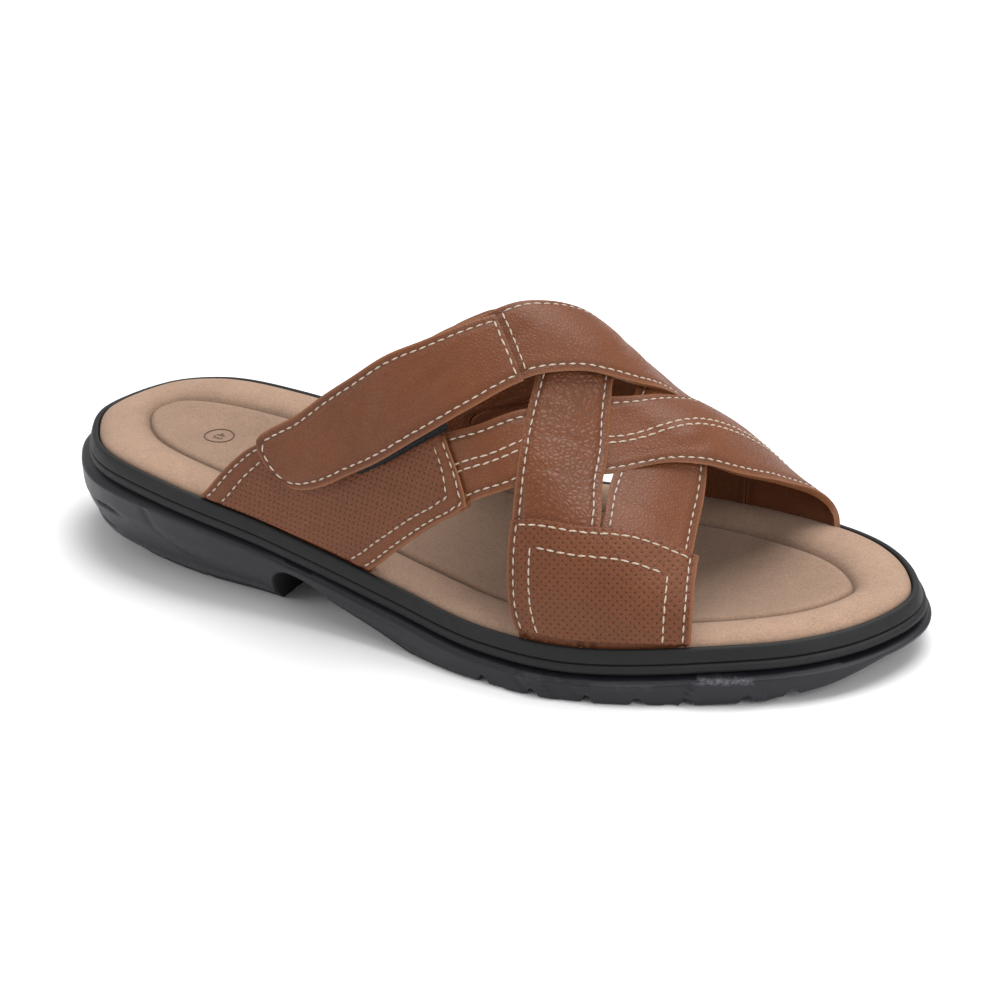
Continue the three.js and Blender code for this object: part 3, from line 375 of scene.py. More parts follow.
class Band:
    """A band of leather on the foot. t runs along its table, f from its rear edge to its front edge."""

    def __init__(
            self, rows, base=0.0, unit=CROSSING_LIFT, end_round=0.0, rows_of_stitches=(), creases=(), swell=0.0):
        self.rows, self.base, self.unit = rows, base, unit
        self.last = len(rows) - 1
        self.end_round = end_round
        self.stitch_insets = rows_of_stitches
        self.creases = creases
        self.swell = swell
        t = np.linspace(0, self.last, 40 * self.last + 1)
        rear, mid, front = (self.skin(t, np.full_like(t, f)) for f in (0, 0.5, 1))
        self.grid_t = t
        self.width = np.linalg.norm(mid - rear, axis=1) + np.linalg.norm(front - mid, axis=1)
        self.run = np.concatenate([[0], np.cumsum(np.linalg.norm(np.diff(mid, axis=0), axis=1))])

    def skin(self, t, f):
        row = between(self.rows, t)
        along = row[..., 0] + (row[..., 2] - row[..., 0]) * f
        around = row[..., 1] + (row[..., 3] - row[..., 1]) * f
        lift = self.base + self.unit * (row[..., 4] + (row[..., 5] - row[..., 4]) * f)
        return foot_skin(along, around) + foot_normal(along, around) * lift[..., None]

    def flat(self, t, f):
        """Place on the band laid flat, in millimetres: across from the rear edge, along, and its width there"""
        width = np.interp(t, self.grid_t, self.width)
        return f * width, np.interp(t, self.grid_t, self.run), width

    def relief(self, t, f):
        """Troughs of the stitching, soft edges and creases, in millimetres"""
        u, v, width = self.flat(t, f)
        edge = np.minimum(u, width - u)
        out = 0.10 * np.sin(v / 7.3 + u / 11.0 + 1.3) + 0.08 * np.sin(v / 4.1 - u / 6.0 + 0.4)
        out += self.swell * np.clip(edge / 9.0, 0, 1) ** 0.6
        for inset in self.stitch_insets:
            out += -0.34 * np.exp(-((edge - inset) / 0.75) ** 2) + 0.10 * np.exp(-((edge - inset - 2.0) / 1.3) ** 2)
        out += -0.30 * np.clip(1 - edge / 0.9, 0, 1) ** 2
        for t0, f0, t1, f1, wide, deep in self.creases:
            u0, v0, _ = self.flat(np.array(float(t0)), np.array(float(f0)))
            u1, v1, _ = self.flat(np.array(float(t1)), np.array(float(f1)))
            du, dv = u1 - u0, v1 - v0
            span = du * du + dv * dv
            k = np.clip(((u - u0) * du + (v - v0) * dv) / span, 0, 1)
            long = math.sqrt(span)
            bow = 0.08 * long * np.sin(np.pi * k)
            gap = np.hypot(u - u0 - k * du - bow * dv / long, v - v0 - k * dv + bow * du / long)
            fade = np.sin(np.pi * np.clip(k, 0.08, 0.92))
            out += fade * deep * (0.55 * np.exp(-((gap - 1.7 * wide) / wide) ** 2) - np.exp(-(gap / wide) ** 2))
        return out

    def trim(self, f):
        """How far along each lane runs, where the end has rounded corners"""
        if not self.end_round:
            return np.full_like(f, self.last)
        wide = self.width[-1]
        edge = np.minimum(f, 1 - f) * wide
        cut = self.end_round - np.sqrt(np.maximum(self.end_round ** 2 - np.maximum(self.end_round - edge, 0) ** 2, 0))
        return np.interp(self.run[-1] - cut, self.run, self.grid_t)

    def at(self, t, f, out=0.0, relief=True):
        """Points of the band's outer face"""
        t, f = np.broadcast_arrays(np.asarray(t, float), np.asarray(f, float))
        here = self.skin(t, f)
        normal = self.normal(t, f)
        high = (self.relief(t, f) if relief else 0.0) + out
        return here + normal * np.asarray(high)[..., None]

    def normal(self, t, f):
        h = 0.02
        a = self.skin(np.clip(t + h, 0, self.last), f) - self.skin(np.clip(t - h, 0, self.last), f)
        b = self.skin(t, np.clip(f + h, 0, 1)) - self.skin(t, np.clip(f - h, 0, 1))
        n = np.cross(b, a)
        row = between(self.rows, t)
        out = foot_normal(row[..., 0] + (row[..., 2] - row[..., 0]) * f, row[..., 1] + (row[..., 3] - row[..., 1]) * f)
        n *= np.sign(np.sum(n * out, -1, keepdims=True))
        return n / np.linalg.norm(n, axis=-1, keepdims=True)


# Meshes from Blender's own tools

def only(obj):
    """Selects one object and nothing else"""
    bpy.ops.object.select_all(action="DESELECT")
    obj.select_set(True)
    bpy.context.view_layer.objects.active = obj
    return obj


def sheet_of(name, points, uv=None, values=None):
    """A grid primitive whose vertices take the places given: points is rows by columns, in metres"""
    rows, columns = points.shape[:2]
    bpy.ops.object.select_all(action="DESELECT")
    bpy.ops.mesh.primitive_grid_add(x_subdivisions=columns - 1, y_subdivisions=rows - 1, size=1.0, calc_uvs=True)
    obj = bpy.context.object
    obj.name = name
    obj.data.name = name
    mesh = obj.data
    co = np.zeros(len(mesh.vertices) * 3)
    mesh.vertices.foreach_get("co", co)
    co = co.reshape(-1, 3)
    i = np.rint((co[:, 0] + 0.5) * (columns - 1)).astype(int)
    j = np.rint((co[:, 1] + 0.5) * (rows - 1)).astype(int)
    mesh.vertices.foreach_set("co", points[j, i].ravel())
    loops = np.zeros(len(mesh.loops), np.int32)
    mesh.loops.foreach_get("vertex_index", loops)
    if uv is not None:
        mesh.uv_layers[0].name = "flat"
        mesh.uv_layers[0].data.foreach_set("uv", uv[j, i][loops].ravel())
    for key, value in (values or {}).items():
        layer = mesh.attributes.new(key, "FLOAT", "POINT")
        layer.data.foreach_set("value", value[j, i].astype(np.float32))
    mesh.update()
    return obj


def apply_modifier(obj, kind, **settings):
    only(obj)
    modifier = obj.modifiers.new(kind.title(), kind)
    for key, value in settings.items():
        setattr(modifier, key, value)
    bpy.ops.object.modifier_apply(modifier=modifier.name)


def edit(obj, *steps):
    """Runs edit-mode operators on the whole of one mesh"""
    only(obj)
    bpy.ops.object.mode_set(mode="EDIT")
    bpy.ops.mesh.select_all(action="SELECT")
    for operator, settings in steps:
        operator(**settings)
    bpy.ops.object.mode_set(mode="OBJECT")


def shade(obj, degrees):
    only(obj)
    bpy.ops.object.shade_smooth_by_angle(angle=math.radians(degrees))


def finish(obj, materials, slot, *nodes):
    """Puts the materials on, sets the body, and hides the solids it stands for"""
    obj.data.materials.clear()
    for material in materials:
        obj.data.materials.append(material)
    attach(obj, "root")
    if nodes:
        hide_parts(*nodes)
    return obj


def join(objects, name):
    bpy.ops.object.select_all(action="DESELECT")
    for obj in objects:
        obj.select_set(True)
    bpy.context.view_layer.objects.active = objects[0]
    bpy.ops.object.join()
    objects[0].name = name
    objects[0].data.name = name
    return objects[0]


def plane_map(band, t, f):
    """Places on the plane that lies nearest to the band, in millimetres, so that a pattern runs straight"""
    ends = band.skin(np.array([0.0, band.last]), np.array([0.5, 0.5]))
    middle = np.array([band.last / 2.0])
    normal = band.normal(middle, np.array([0.5]))[0]
    way = ends[1] - ends[0]
    way -= normal * (way @ normal)
    way /= np.linalg.norm(way)
    rest = band.skin(t, f) - ends[0]
    return np.stack([rest @ np.cross(normal, way), rest @ way], -1)


def leather_band(name, band, thickness, lane=1.1, step=1.25, planar=False):
    """A band of leather with its lining and cut edges as separate faces"""
    rows = int(np.ceil(band.run[-1] / step)) + 1
    lanes = int(np.ceil(band.width.max() / lane)) + 1
    f = np.linspace(0, 1, lanes)
    t = np.linspace(0, 1, rows)[:, None] * band.trim(f)[None, :]
    f = np.broadcast_to(f, t.shape)
    u, v, width = band.flat(t, f)
    edge = np.minimum(u, width - u)
    if band.end_round:
        edge = np.minimum(edge, band.run[-1] - v)
    seam = np.zeros_like(edge)
    for inset in band.stitch_insets:
        seam = np.maximum(seam, np.exp(-((edge - inset) / 0.7) ** 2))
    points = to_row(band.at(t, f))
    flat = plane_map(band, t, f) if planar else np.stack([u, v], -1)
    obj = sheet_of(name, points, flat / 100.0, {"edge": edge, "seam": seam})
    edit(obj, (bpy.ops.mesh.normals_make_consistent, {"inside": False}))
    turn_outwards(obj, band)
    apply_modifier(obj, "SOLIDIFY", thickness=thickness, offset=-1.0, material_offset=1, material_offset_rim=2)
    apply_modifier(
        obj, "BEVEL", width=thickness * 0.2, segments=2, limit_method="ANGLE", angle_limit=math.radians(50),
        harden_normals=False)
    shade(obj, 60)
    return obj


def turn_outwards(obj, band):
    """An open sheet's faces must look away from the foot before it gets its thickness"""
    mesh = obj.data
    t, f = band.last / 2.0, 0.5
    way = band.normal(np.array([t]), np.array([f]))[0]
    near = to_row(band.at(np.array([t]), np.array([f])))[0]
    face = min(mesh.polygons, key=lambda p: (p.center - Vector(near)).length)
    if face.normal.dot(Vector(way)) < 0:
        edit(obj, (bpy.ops.mesh.flip_normals, {}))


# Stitches

def stitch_model():
    """One stitch, along X, as thick as the thread"""
    bpy.ops.object.select_all(action="DESELECT")
    bpy.ops.mesh.primitive_cylinder_add(vertices=6, radius=0.5, depth=1.0, rotation=(0, math.pi / 2, 0))
    obj = bpy.context.object
    only(obj)
    bpy.ops.object.transform_apply(location=True, rotation=True, scale=True)
    bpy.ops.object.mode_set(mode="EDIT")
    bpy.ops.mesh.select_all(action="SELECT")
    bpy.ops.mesh.subdivide(number_cuts=1)
    bpy.ops.object.mode_set(mode="OBJECT")
    co = np.array([v.co[:] for v in obj.data.vertices])
    faces = [tuple(p.vertices) for p in obj.data.polygons]
    bpy.data.objects.remove(obj)
    end = np.abs(co[:, 0]) > 0.45
    co[end, 1:] *= 0.55
    co[end, 2] -= 0.35
    return co, faces


def stitch_places(band, path):
    """Centres, directions and normals of the stitches along a path of t and f points"""
    path = np.array(path, float)
    k = np.linspace(0, len(path) - 1, 60 * (len(path) - 1) + 1)
    t = np.interp(k, np.arange(len(path)), path[:, 0])
    f = np.interp(k, np.arange(len(path)), path[:, 1])
    points = band.at(t, f)
    normals = band.normal(t, f)
    run = np.concatenate([[0], np.cumsum(np.linalg.norm(np.diff(points, axis=0), axis=1))])
    pitch = sizes().stitch_pitch * 1000
    count = max(int(round(run[-1] / pitch)), 1)
    places = []
    for i in range(count):
        s = (i + 0.5) * run[-1] / count
        a, b = s - 0.4 * pitch, s + 0.4 * pitch
        here, back, front = (np.array([np.interp(x, run, points[:, c]) for c in range(3)]) for x in (s, a, b))
        normal = np.array([np.interp(s, run, normals[:, c]) for c in range(3)])
        places.append((here, front - back, normal))
    return places


def inset_path(band, side, inset, t0, t1, count=None):
    """A path beside one edge of the band, at a distance from it"""
    count = count or max(int(abs(t1 - t0) * 4), 2)
    t = np.linspace(t0, t1, count + 1)
    share = inset / np.interp(t, band.grid_t, band.width)
    f = share if side == "rear" else 1 - share if side == "front" else 0.5 + share
    return np.stack([t, f], -1)


def stitch_rows(name, rows):
    """All the stitches of a group of rows as one mesh. A row is a band and its path."""
    model, faces = stitch_model()
    length, width = sizes().stitch_length * 1000, sizes().stitch_width * 1000
    vertices, polygons = [], []
    rng = np.random.default_rng(7)
    for band, path in rows:
        for here, way, normal in stitch_places(band, path):
            way = way / np.linalg.norm(way)
            side = np.cross(normal, way)
            side /= np.linalg.norm(side)
            up = np.cross(way, side)
            turn = rng.normal(0, 0.06)
            way, side = way * math.cos(turn) + side * math.sin(turn), side * math.cos(turn) - way * math.sin(turn)
            size = length * rng.uniform(0.92, 1.06)
            local = model * (size, width, width * 0.9)
            base = len(vertices)
            placed = here + local[:, :1] * way + local[:, 1:2] * side + (local[:, 2:3] + 0.22 * width) * up
            vertices.extend(placed)
            polygons.extend(tuple(base + i for i in face) for face in faces)
    mesh = bpy.data.meshes.new(name)
    mesh.from_pydata([tuple(p) for p in to_row(np.array(vertices))], [], polygons)
    obj = bpy.data.objects.new(name, mesh)
    bpy.context.scene.collection.objects.link(obj)
    edit(obj, (bpy.ops.mesh.normals_make_consistent, {"inside": False}))
    shade(obj, 70)
    return finish(obj, [thread_material()], "leather_brown")


# Materials

def new_material(name):
    material = bpy.data.materials.get(name)
    if material:
        return material, None
    material = bpy.data.materials.new(name)
    material.use_nodes = True
    material.node_tree.nodes.clear()
    return material, material.node_tree


class Nodes:
    """Short words for building a node tree"""

    def __init__(self, tree):
        self.tree = tree

    def add(self, kind, inputs=None, **settings):
        node = self.tree.nodes.new(kind)
        for key, value in settings.items():
            setattr(node, key, value)
        for key, value in (inputs or {}).items():
            self.set(node.inputs[key], value)
        return node

    def set(self, socket, value):
        if isinstance(value, bpy.types.NodeSocket):
            self.tree.links.new(value, socket)
        else:
            socket.default_value = value

    def math(self, operation, a, b=None, c=None, clamp=False):
        node = self.add("ShaderNodeMath", operation=operation, use_clamp=clamp)
        for i, value in enumerate((a, b, c)):
            if value is not None:
                self.set(node.inputs[i], value)
        return node.outputs[0]

    def mix(self, factor, a, b, blend="MIX"):
        node = self.add("ShaderNodeMix", data_type="RGBA", blend_type=blend)
        self.set(node.inputs["Factor"], factor)
        self.set(node.inputs["A"], a)
        self.set(node.inputs["B"], b)
        return node.outputs["Result"]

    def mix_value(self, factor, a, b):
        return self.math("ADD", self.math("MULTIPLY", factor, b - a), a)

    def spread(self, value, low, high, to_low=0.0, to_high=1.0):
        node = self.add("ShaderNodeMapRange", interpolation_type="SMOOTHSTEP")
        for key, x in (("Value", value), ("From Min", low), ("From Max", high), ("To Min", to_low), ("To Max", to_high)):
            self.set(node.inputs[key], x)
        return node.outputs["Result"]

    def noise(self, vector, scale, detail=2.0, roughness=0.5):
        node = self.add("ShaderNodeTexNoise", {"Scale": scale, "Detail": detail, "Roughness": roughness})
        self.set(node.inputs["Vector"], vector)
        return node.outputs["Fac"]

    def attribute(self, name):
        return self.add("ShaderNodeAttribute", attribute_name=name).outputs["Fac"]

    def place(self):
        return self.add("ShaderNodeTexCoord").outputs["Object"]


def group_tree(name, inputs, outputs):
    """A shader node group with its sockets, or None for the tree where it is built already"""
    tree = bpy.data.node_groups.get(name)
    if tree:
        return tree, None, None, None
    tree = bpy.data.node_groups.new(name, "ShaderNodeTree")
    for key, kind, value in inputs:
        socket = tree.interface.new_socket(name=key, in_out="INPUT", socket_type=kind)
        if value is not None:
            socket.default_value = value
    for key, kind in outputs:
        tree.interface.new_socket(name=key, in_out="OUTPUT", socket_type=kind)
    nodes = Nodes(tree)
    return tree, nodes, nodes.add("NodeGroupInput").outputs, nodes.add("NodeGroupOutput").inputs


def pebble_group():
    """Pebbled leather grain: its height, and a mask of the fine creases between the pebbles"""
    tree, n, inp, out = group_tree(
        "Pebbled grain",
        [("Place", "NodeSocketVector", None), ("Scale", "NodeSocketFloat", 700.0), ("Stretch", "NodeSocketFloat", 0.35)],
        [("Height", "NodeSocketFloat"), ("Crease", "NodeSocketFloat")])
    if n is None:
        return tree
    wobble = n.add("ShaderNodeTexNoise", {"Scale": 420.0, "Detail": 2.0})
    n.set(wobble.inputs["Vector"], inp["Place"])
    shift = n.add("ShaderNodeVectorMath", operation="MULTIPLY_ADD")
    n.set(shift.inputs[0], wobble.outputs["Color"])
    shift.inputs[1].default_value = (0.0009, 0.0009, 0.0009)
    n.set(shift.inputs[2], inp["Place"])
    cells = n.add("ShaderNodeTexVoronoi", feature="DISTANCE_TO_EDGE")
    n.set(cells.inputs["Vector"], shift.outputs[0])
    n.set(cells.inputs["Scale"], inp["Scale"])
    large = n.add("ShaderNodeTexVoronoi", feature="SMOOTH_F1", inputs={"Smoothness": 0.6})
    n.set(large.inputs["Vector"], shift.outputs[0])
    n.set(large.inputs["Scale"], n.math("MULTIPLY", inp["Scale"], inp["Stretch"]))
    crease = n.spread(cells.outputs["Distance"], 0.0, 0.16, 1.0, 0.0)
    dome = n.spread(cells.outputs["Distance"], 0.0, 0.45)
    fine = n.noise(inp["Place"], 3200.0, 2.0)
    height = n.math("ADD", n.math("MULTIPLY", dome, 0.7), n.math("MULTIPLY", large.outputs["Distance"], -0.5))
    n.set(out["Height"], n.math("ADD", height, n.math("MULTIPLY", fine, 0.18)))
    n.set(out["Crease"], crease)
    return tree


def pinhole_group():
    """Small round holes in staggered rows, on a flat place in millimetres"""
    tree, n, inp, out = group_tree(
        "Pinholes",
        [("Place", "NodeSocketVector", None), ("Pitch", "NodeSocketFloat", 2.3), ("Radius", "NodeSocketFloat", 0.4)],
        [("Hole", "NodeSocketFloat"), ("Lip", "NodeSocketFloat")])
    if n is None:
        return tree
    split = n.add("ShaderNodeSeparateXYZ")
    n.set(split.inputs[0], inp["Place"])
    row_gap = n.math("MULTIPLY", inp["Pitch"], 0.5)
    v = n.math("DIVIDE", split.outputs["Y"], row_gap)
    row = n.math("FLOOR", n.math("ADD", v, 0.5))
    odd = n.math("MULTIPLY", n.math("MODULO", n.math("ABSOLUTE", row), 2.0), 0.5)
    u = n.math("ADD", n.math("DIVIDE", split.outputs["X"], inp["Pitch"]), odd)
    du = n.math("MULTIPLY", n.math("SUBTRACT", n.math("SUBTRACT", u, n.math("FLOOR", u)), 0.5), inp["Pitch"])
    dv = n.math("MULTIPLY", n.math("SUBTRACT", v, row), row_gap)
    gap = n.math("SQRT", n.math("ADD", n.math("MULTIPLY", du, du), n.math("MULTIPLY", dv, dv)))
    share = n.math("DIVIDE", gap, inp["Radius"])
    n.set(out["Hole"], n.spread(share, 0.6, 1.15, 1.0, 0.0))
    n.set(out["Lip"], n.spread(share, 1.0, 1.9, 1.0, 0.0))
    return tree


def cloud_group():
    """Slow uneven tone of a dyed or worn surface, near 1"""
    tree, n, inp, out = group_tree(
        "Uneven tone",
        [("Place", "NodeSocketVector", None), ("Scale", "NodeSocketFloat", 40.0), ("Amount", "NodeSocketFloat", 0.2)],
        [("Tone", "NodeSocketFloat")])
    if n is None:
        return tree
    slow = n.noise(inp["Place"], inp["Scale"], 3.0, 0.55)
    quick = n.noise(inp["Place"], n.math("MULTIPLY", inp["Scale"], 9.0), 2.0, 0.5)
    both = n.math("SUBTRACT", n.math("ADD", n.math("MULTIPLY", slow, 1.4), n.math("MULTIPLY", quick, 0.6)), 1.0)
    n.set(out["Tone"], n.math("ADD", 1.0, n.math("MULTIPLY", both, inp["Amount"])))
    return tree


def use_group(n, tree, **inputs):
    node = n.add("ShaderNodeGroup", node_tree=tree)
    for key, value in inputs.items():
        n.set(node.inputs[key], value)
    return node.outputs


def times(n, colour, factor):
    node = n.add("ShaderNodeVectorMath", operation="SCALE")
    n.set(node.inputs[0], colour if isinstance(colour, bpy.types.NodeSocket) else tuple(colour)[:3])
    n.set(node.inputs["Scale"], factor)
    return node.outputs[0]


def surface(n, colour, roughness, normal, **constants):
    shader = n.add("ShaderNodeBsdfPrincipled")
    n.set(shader.inputs["Base Color"], colour)
    n.set(shader.inputs["Roughness"], roughness)
    if normal is not None:
        n.set(shader.inputs["Normal"], normal)
    for key, value in constants.items():
        shader.inputs[key.replace("_", " ")].default_value = value
    out = n.add("ShaderNodeOutputMaterial")
    n.tree.links.new(shader.outputs[0], out.inputs["Surface"])


def rgba(colour, alpha=1.0):
    return tuple(colour) + (alpha,)


def leather_material(name, grain=1.0, scale=760.0, gloss=0.42, pinholes=None, tone=1.0):
    material, tree = new_material(name)
    if tree is None:
        return material
    n = Nodes(tree)
    c = colours()
    place = n.place()
    pebble = use_group(n, pebble_group(), Place=place, Scale=scale, Stretch=0.35)
    cloud = use_group(n, cloud_group(), Place=place, Scale=45.0, Amount=0.30)
    edge, seam = n.attribute("edge"), n.attribute("seam")
    colour = n.mix(n.math("MULTIPLY", pebble["Crease"], 0.42 * grain, clamp=True), rgba(c.leather), rgba(c.leather_deep))
    worn = n.spread(edge, 0.0, 1.1, 0.55, 0.0)
    colour = n.mix(worn, colour, rgba(c.raw_edge))
    colour = n.mix(n.math("MULTIPLY", seam, 0.55), colour, rgba(c.leather_deep))
    tone_here = n.math("MULTIPLY", cloud["Tone"], tone)
    height = n.math("MULTIPLY", pebble["Height"], 1.0)
    if pinholes:
        uv = n.add("ShaderNodeUVMap", uv_map="flat")
        flat = n.add("ShaderNodeVectorMath", operation="SCALE")
        n.set(flat.inputs[0], uv.outputs[0])
        flat.inputs["Scale"].default_value = 100.0
        holes = use_group(n, pinhole_group(), Place=flat.outputs[0], Pitch=pinholes["pitch"], Radius=pinholes["radius"])
        zone = n.spread(edge, pinholes["border"], pinholes["border"] + 0.3)
        hole = n.math("MULTIPLY", holes["Hole"], zone)
        # The pinholes are painted dark brown: the leather beneath them, darkened as painted shade inside the holes.
        colour = n.mix(n.math("MULTIPLY", hole, 0.85), colour, rgba((0.035, 0.012, 0.006)))
        height = n.math("SUBTRACT", height, n.math("MULTIPLY", n.math("MULTIPLY", holes["Lip"], zone), 0.9))
    colour = times(n, colour, tone_here)
    bump = n.add("ShaderNodeBump", {"Strength": 0.55 * grain, "Distance": 0.00032})
    n.set(bump.inputs["Height"], height)
    rough = n.math("ADD", gloss, n.math("MULTIPLY", pebble["Crease"], 0.18))
    surface(n, colour, rough, bump.outputs[0], Specular_IOR_Level=0.30, Coat_Weight=0.06, Coat_Roughness=0.3)
    return material


def plain_leather():
    return leather_material("leather_smooth", grain=0.7, scale=900.0, gloss=0.44)


def pebbled_leather():
    return leather_material("leather_pebbled", grain=1.15, scale=620.0, gloss=0.36)


def perforated(border):
    return leather_material(
        "leather_perforated_%d" % border, grain=0.75, scale=950.0, gloss=0.5, tone=1.05,
        pinholes={"pitch": 2.45, "radius": 0.34, "border": float(border)})


def lining_material():
    material, tree = new_material("strap_lining")
    if tree is None:
        return material
    n = Nodes(tree)
    place = n.place()
    cloud = use_group(n, cloud_group(), Place=place, Scale=60.0, Amount=0.35)
    nap = n.noise(place, 2600.0, 3.0, 0.6)
    colour = times(n, rgba(colours().lining), n.math("MULTIPLY", cloud["Tone"], n.spread(nap, 0.2, 0.8, 0.8, 1.2)))
    bump = n.add("ShaderNodeBump", {"Strength": 0.35, "Distance": 0.0002})
    n.set(bump.inputs["Height"], nap)
    surface(n, colour, 0.85, bump.outputs[0], Specular_IOR_Level=0.2)
    return material


def raw_edge_material():
    material, tree = new_material("leather_cut_edge")
    if tree is None:
        return material
    n = Nodes(tree)
    place = n.place()
    fibre = n.noise(place, 2400.0, 3.0, 0.65)
    colour = times(n, rgba(colours().raw_edge), n.spread(fibre, 0.25, 0.8, 0.6, 1.25))
    bump = n.add("ShaderNodeBump", {"Strength": 0.5, "Distance": 0.0002})
    n.set(bump.inputs["Height"], fibre)
    surface(n, colour, 0.72, bump.outputs[0], Specular_IOR_Level=0.25)
    return material


def leather_set(outer):
    return [outer, lining_material(), raw_edge_material()]


def thread_material():
    material, tree = new_material("stitching_thread")
    if tree is None:
        return material
    n = Nodes(tree)
    place = n.place()
    twist = n.noise(place, 2500.0, 2.0)
    colour = times(n, rgba(colours().thread), n.spread(twist, 0.2, 0.8, 0.72, 1.15))
    bump = n.add("ShaderNodeBump", {"Strength": 0.5, "Distance": 0.0001})
    n.set(bump.inputs["Height"], twist)
    surface(n, colour, 0.7, bump.outputs[0])
    return material


def suede_material():
    material, tree = new_material("footbed_suede")
    if tree is None:
        return material
    n = Nodes(tree)
    c = colours()
    place = n.place()
    cloud = use_group(n, cloud_group(), Place=place, Scale=26.0, Amount=0.30)
    nap = n.noise(place, 1500.0, 4.0, 0.75)
    fine = n.noise(place, 5200.0, 2.0, 0.6)
    seam, rise = n.attribute("seam"), n.attribute("rise")
    base = n.mix(rise, rgba([x * 0.86 for x in c.suede]), rgba([min(x * 1.1, 1) for x in c.suede]))
    tone = n.math("MULTIPLY", cloud["Tone"], n.spread(nap, 0.25, 0.75, 0.80, 1.2))
    colour = times(n, base, tone)
    colour = n.mix(n.math("MULTIPLY", seam, 0.8), colour, rgba([x * 0.28 for x in c.suede]))
    height = n.math("ADD", nap, n.math("MULTIPLY", fine, 0.5))
    bump = n.add("ShaderNodeBump", {"Strength": 0.45, "Distance": 0.00028})
    n.set(bump.inputs["Height"], height)
    surface(n, colour, 0.95, bump.outputs[0], Specular_IOR_Level=0.15, Sheen_Weight=0.08, Sheen_Roughness=0.5)
    return material


def pressed_suede():
    """The footbed's cover where it is pressed down and darker"""
    material, tree = new_material("footbed_pressed_mark")
    if tree is None:
        return material
    n = Nodes(tree)
    nap = n.noise(n.place(), 2600.0, 3.0, 0.7)
    colour = times(n, rgba([x * 0.42 for x in colours().suede]), n.spread(nap, 0.25, 0.75, 0.7, 1.3))
    bump = n.add("ShaderNodeBump", {"Strength": 0.4, "Distance": 0.0002})
    n.set(bump.inputs["Height"], nap)
    surface(n, colour, 0.95, bump.outputs[0], Specular_IOR_Level=0.15)
    return material


def rubber_material():
    material, tree = new_material("sole_rubber_black")
    if tree is None:
        return material
    n = Nodes(tree)
    c = colours()
    place = n.place()
    cloud = use_group(n, cloud_group(), Place=place, Scale=35.0, Amount=0.30)
    grain = n.noise(place, 2600.0, 3.0, 0.6)
    scuff = n.noise(place, 190.0, 6.0, 0.75)
    scratch = n.noise(place, 900.0, 4.0, 0.7)
    side, worn = n.attribute("side"), n.attribute("worn")
    base = n.mix(n.math("MINIMUM", side, 1.0), rgba((c.rubber[0] * 0.98, c.rubber[1] * 1.06, c.rubber[2] * 0.92)), rgba(
        (c.rubber[0] * 1.45, c.rubber[1] * 1.32, c.rubber[2] * 1.5)))
    # Where side is 2, on the underside, the colour falls to 0.35 of itself: painted shade under the sole.
    colour = times(n, base, n.math("MULTIPLY", cloud["Tone"], n.spread(side, 1.0, 1.9, 1.0, 0.35)))
    colour = n.mix(n.spread(scuff, 0.60, 0.82, 0.0, 0.14), colour, rgba((0.06, 0.06, 0.068)))
    pale = n.math("MULTIPLY", worn, n.spread(scratch, 0.38, 0.66, 0.15, 1.0), clamp=True)
    colour = n.mix(pale, colour, rgba((0.10, 0.10, 0.115)))
    rough = n.math("ADD", n.mix_value(n.math("MINIMUM", side, 1.0), 0.62, 0.44), n.math("MULTIPLY", n.math("SUBTRACT", scuff, 0.5), 0.3))
    bump = n.add("ShaderNodeBump", {"Strength": 0.3, "Distance": 0.0002})
    n.set(bump.inputs["Height"], n.math("ADD", grain, n.math("MULTIPLY", pale, 0.8)))
    surface(n, colour, rough, bump.outputs[0], Specular_IOR_Level=0.35)
    return material


def tape_material():
    material, tree = new_material("hook_tape_black")
    if tree is None:
        return material
    n = Nodes(tree)
    place = n.place()
    fuzz = n.noise(place, 1500.0, 4.0, 0.8)
    colour = times(n, rgba(colours().tape), n.spread(fuzz, 0.3, 0.75, 0.4, 2.4))
    bump = n.add("ShaderNodeBump", {"Strength": 1.0, "Distance": 0.0006})
    n.set(bump.inputs["Height"], fuzz)
    surface(n, colour, 0.8, bump.outputs[0])
    return material


# Pieces

def build_bands():
    mm = 1000.0
    s = sizes()
    patch_lift = FIT + s.patch_thickness * mm
    tape_lift = patch_lift + FIT + s.tape_thickness * mm
    flap_lift = tape_lift + FIT + s.flap_thickness * mm
    return {
        "rear_cross": Band(
            REAR_CROSS, rows_of_stitches=(2.3,), swell=0.15,
            creases=((14.2, 0.1, 14.4, 0.8, 1.1, 0.35), (15.3, 0.3, 15.2, 0.9, 1.2, 0.3), (16.4, 0.15, 16.2, 0.6, 1.3, 0.3),
                     (5.0, 0.2, 7.0, 0.5, 2.2, 0.35))),
        "front_cross": Band(
            FRONT_CROSS, rows_of_stitches=(2.3,), swell=0.15,
            creases=((16.2, 0.15, 16.0, 0.85, 1.2, 0.3), (6.0, 0.3, 8.0, 0.55, 2.0, 0.3))),
        "top_strap": Band(
            TOP_STRAP, rows_of_stitches=(2.3,), swell=0.2,
            creases=((8.0, 0.2, 9.5, 0.75, 2.4, 0.35), (11.0, 0.3, 12.5, 0.5, 2.0, 0.25))),
        "front_strap": Band(
            FRONT_STRAP, rows_of_stitches=(2.3,), swell=0.15,
            creases=((9.0, 0.65, 10.5, 0.8, 1.8, 0.3), (15.0, 0.2, 15.6, 0.7, 1.4, 0.3))),
        "rear_base": Band(REAR_BASE),
        "rear_patch": Band(REAR_PATCH, base=patch_lift, rows_of_stitches=(2.3, 7.6)),
        "front_patch": Band(FRONT_PATCH, base=patch_lift, rows_of_stitches=(2.3,)),
        "tape": Band(TAPE, base=tape_lift),
        "flap": Band(
            FLAP, unit=flap_lift, end_round=4.5, rows_of_stitches=(2.3,), swell=0.3,
            creases=((1.2, 0.3, 2.6, 0.55, 2.2, 0.3), (3.6, 0.2, 4.4, 0.7, 2.0, 0.25), (6.0, 0.25, 6.6, 0.75, 2.2, 0.25))),
    }


BANDS = {}


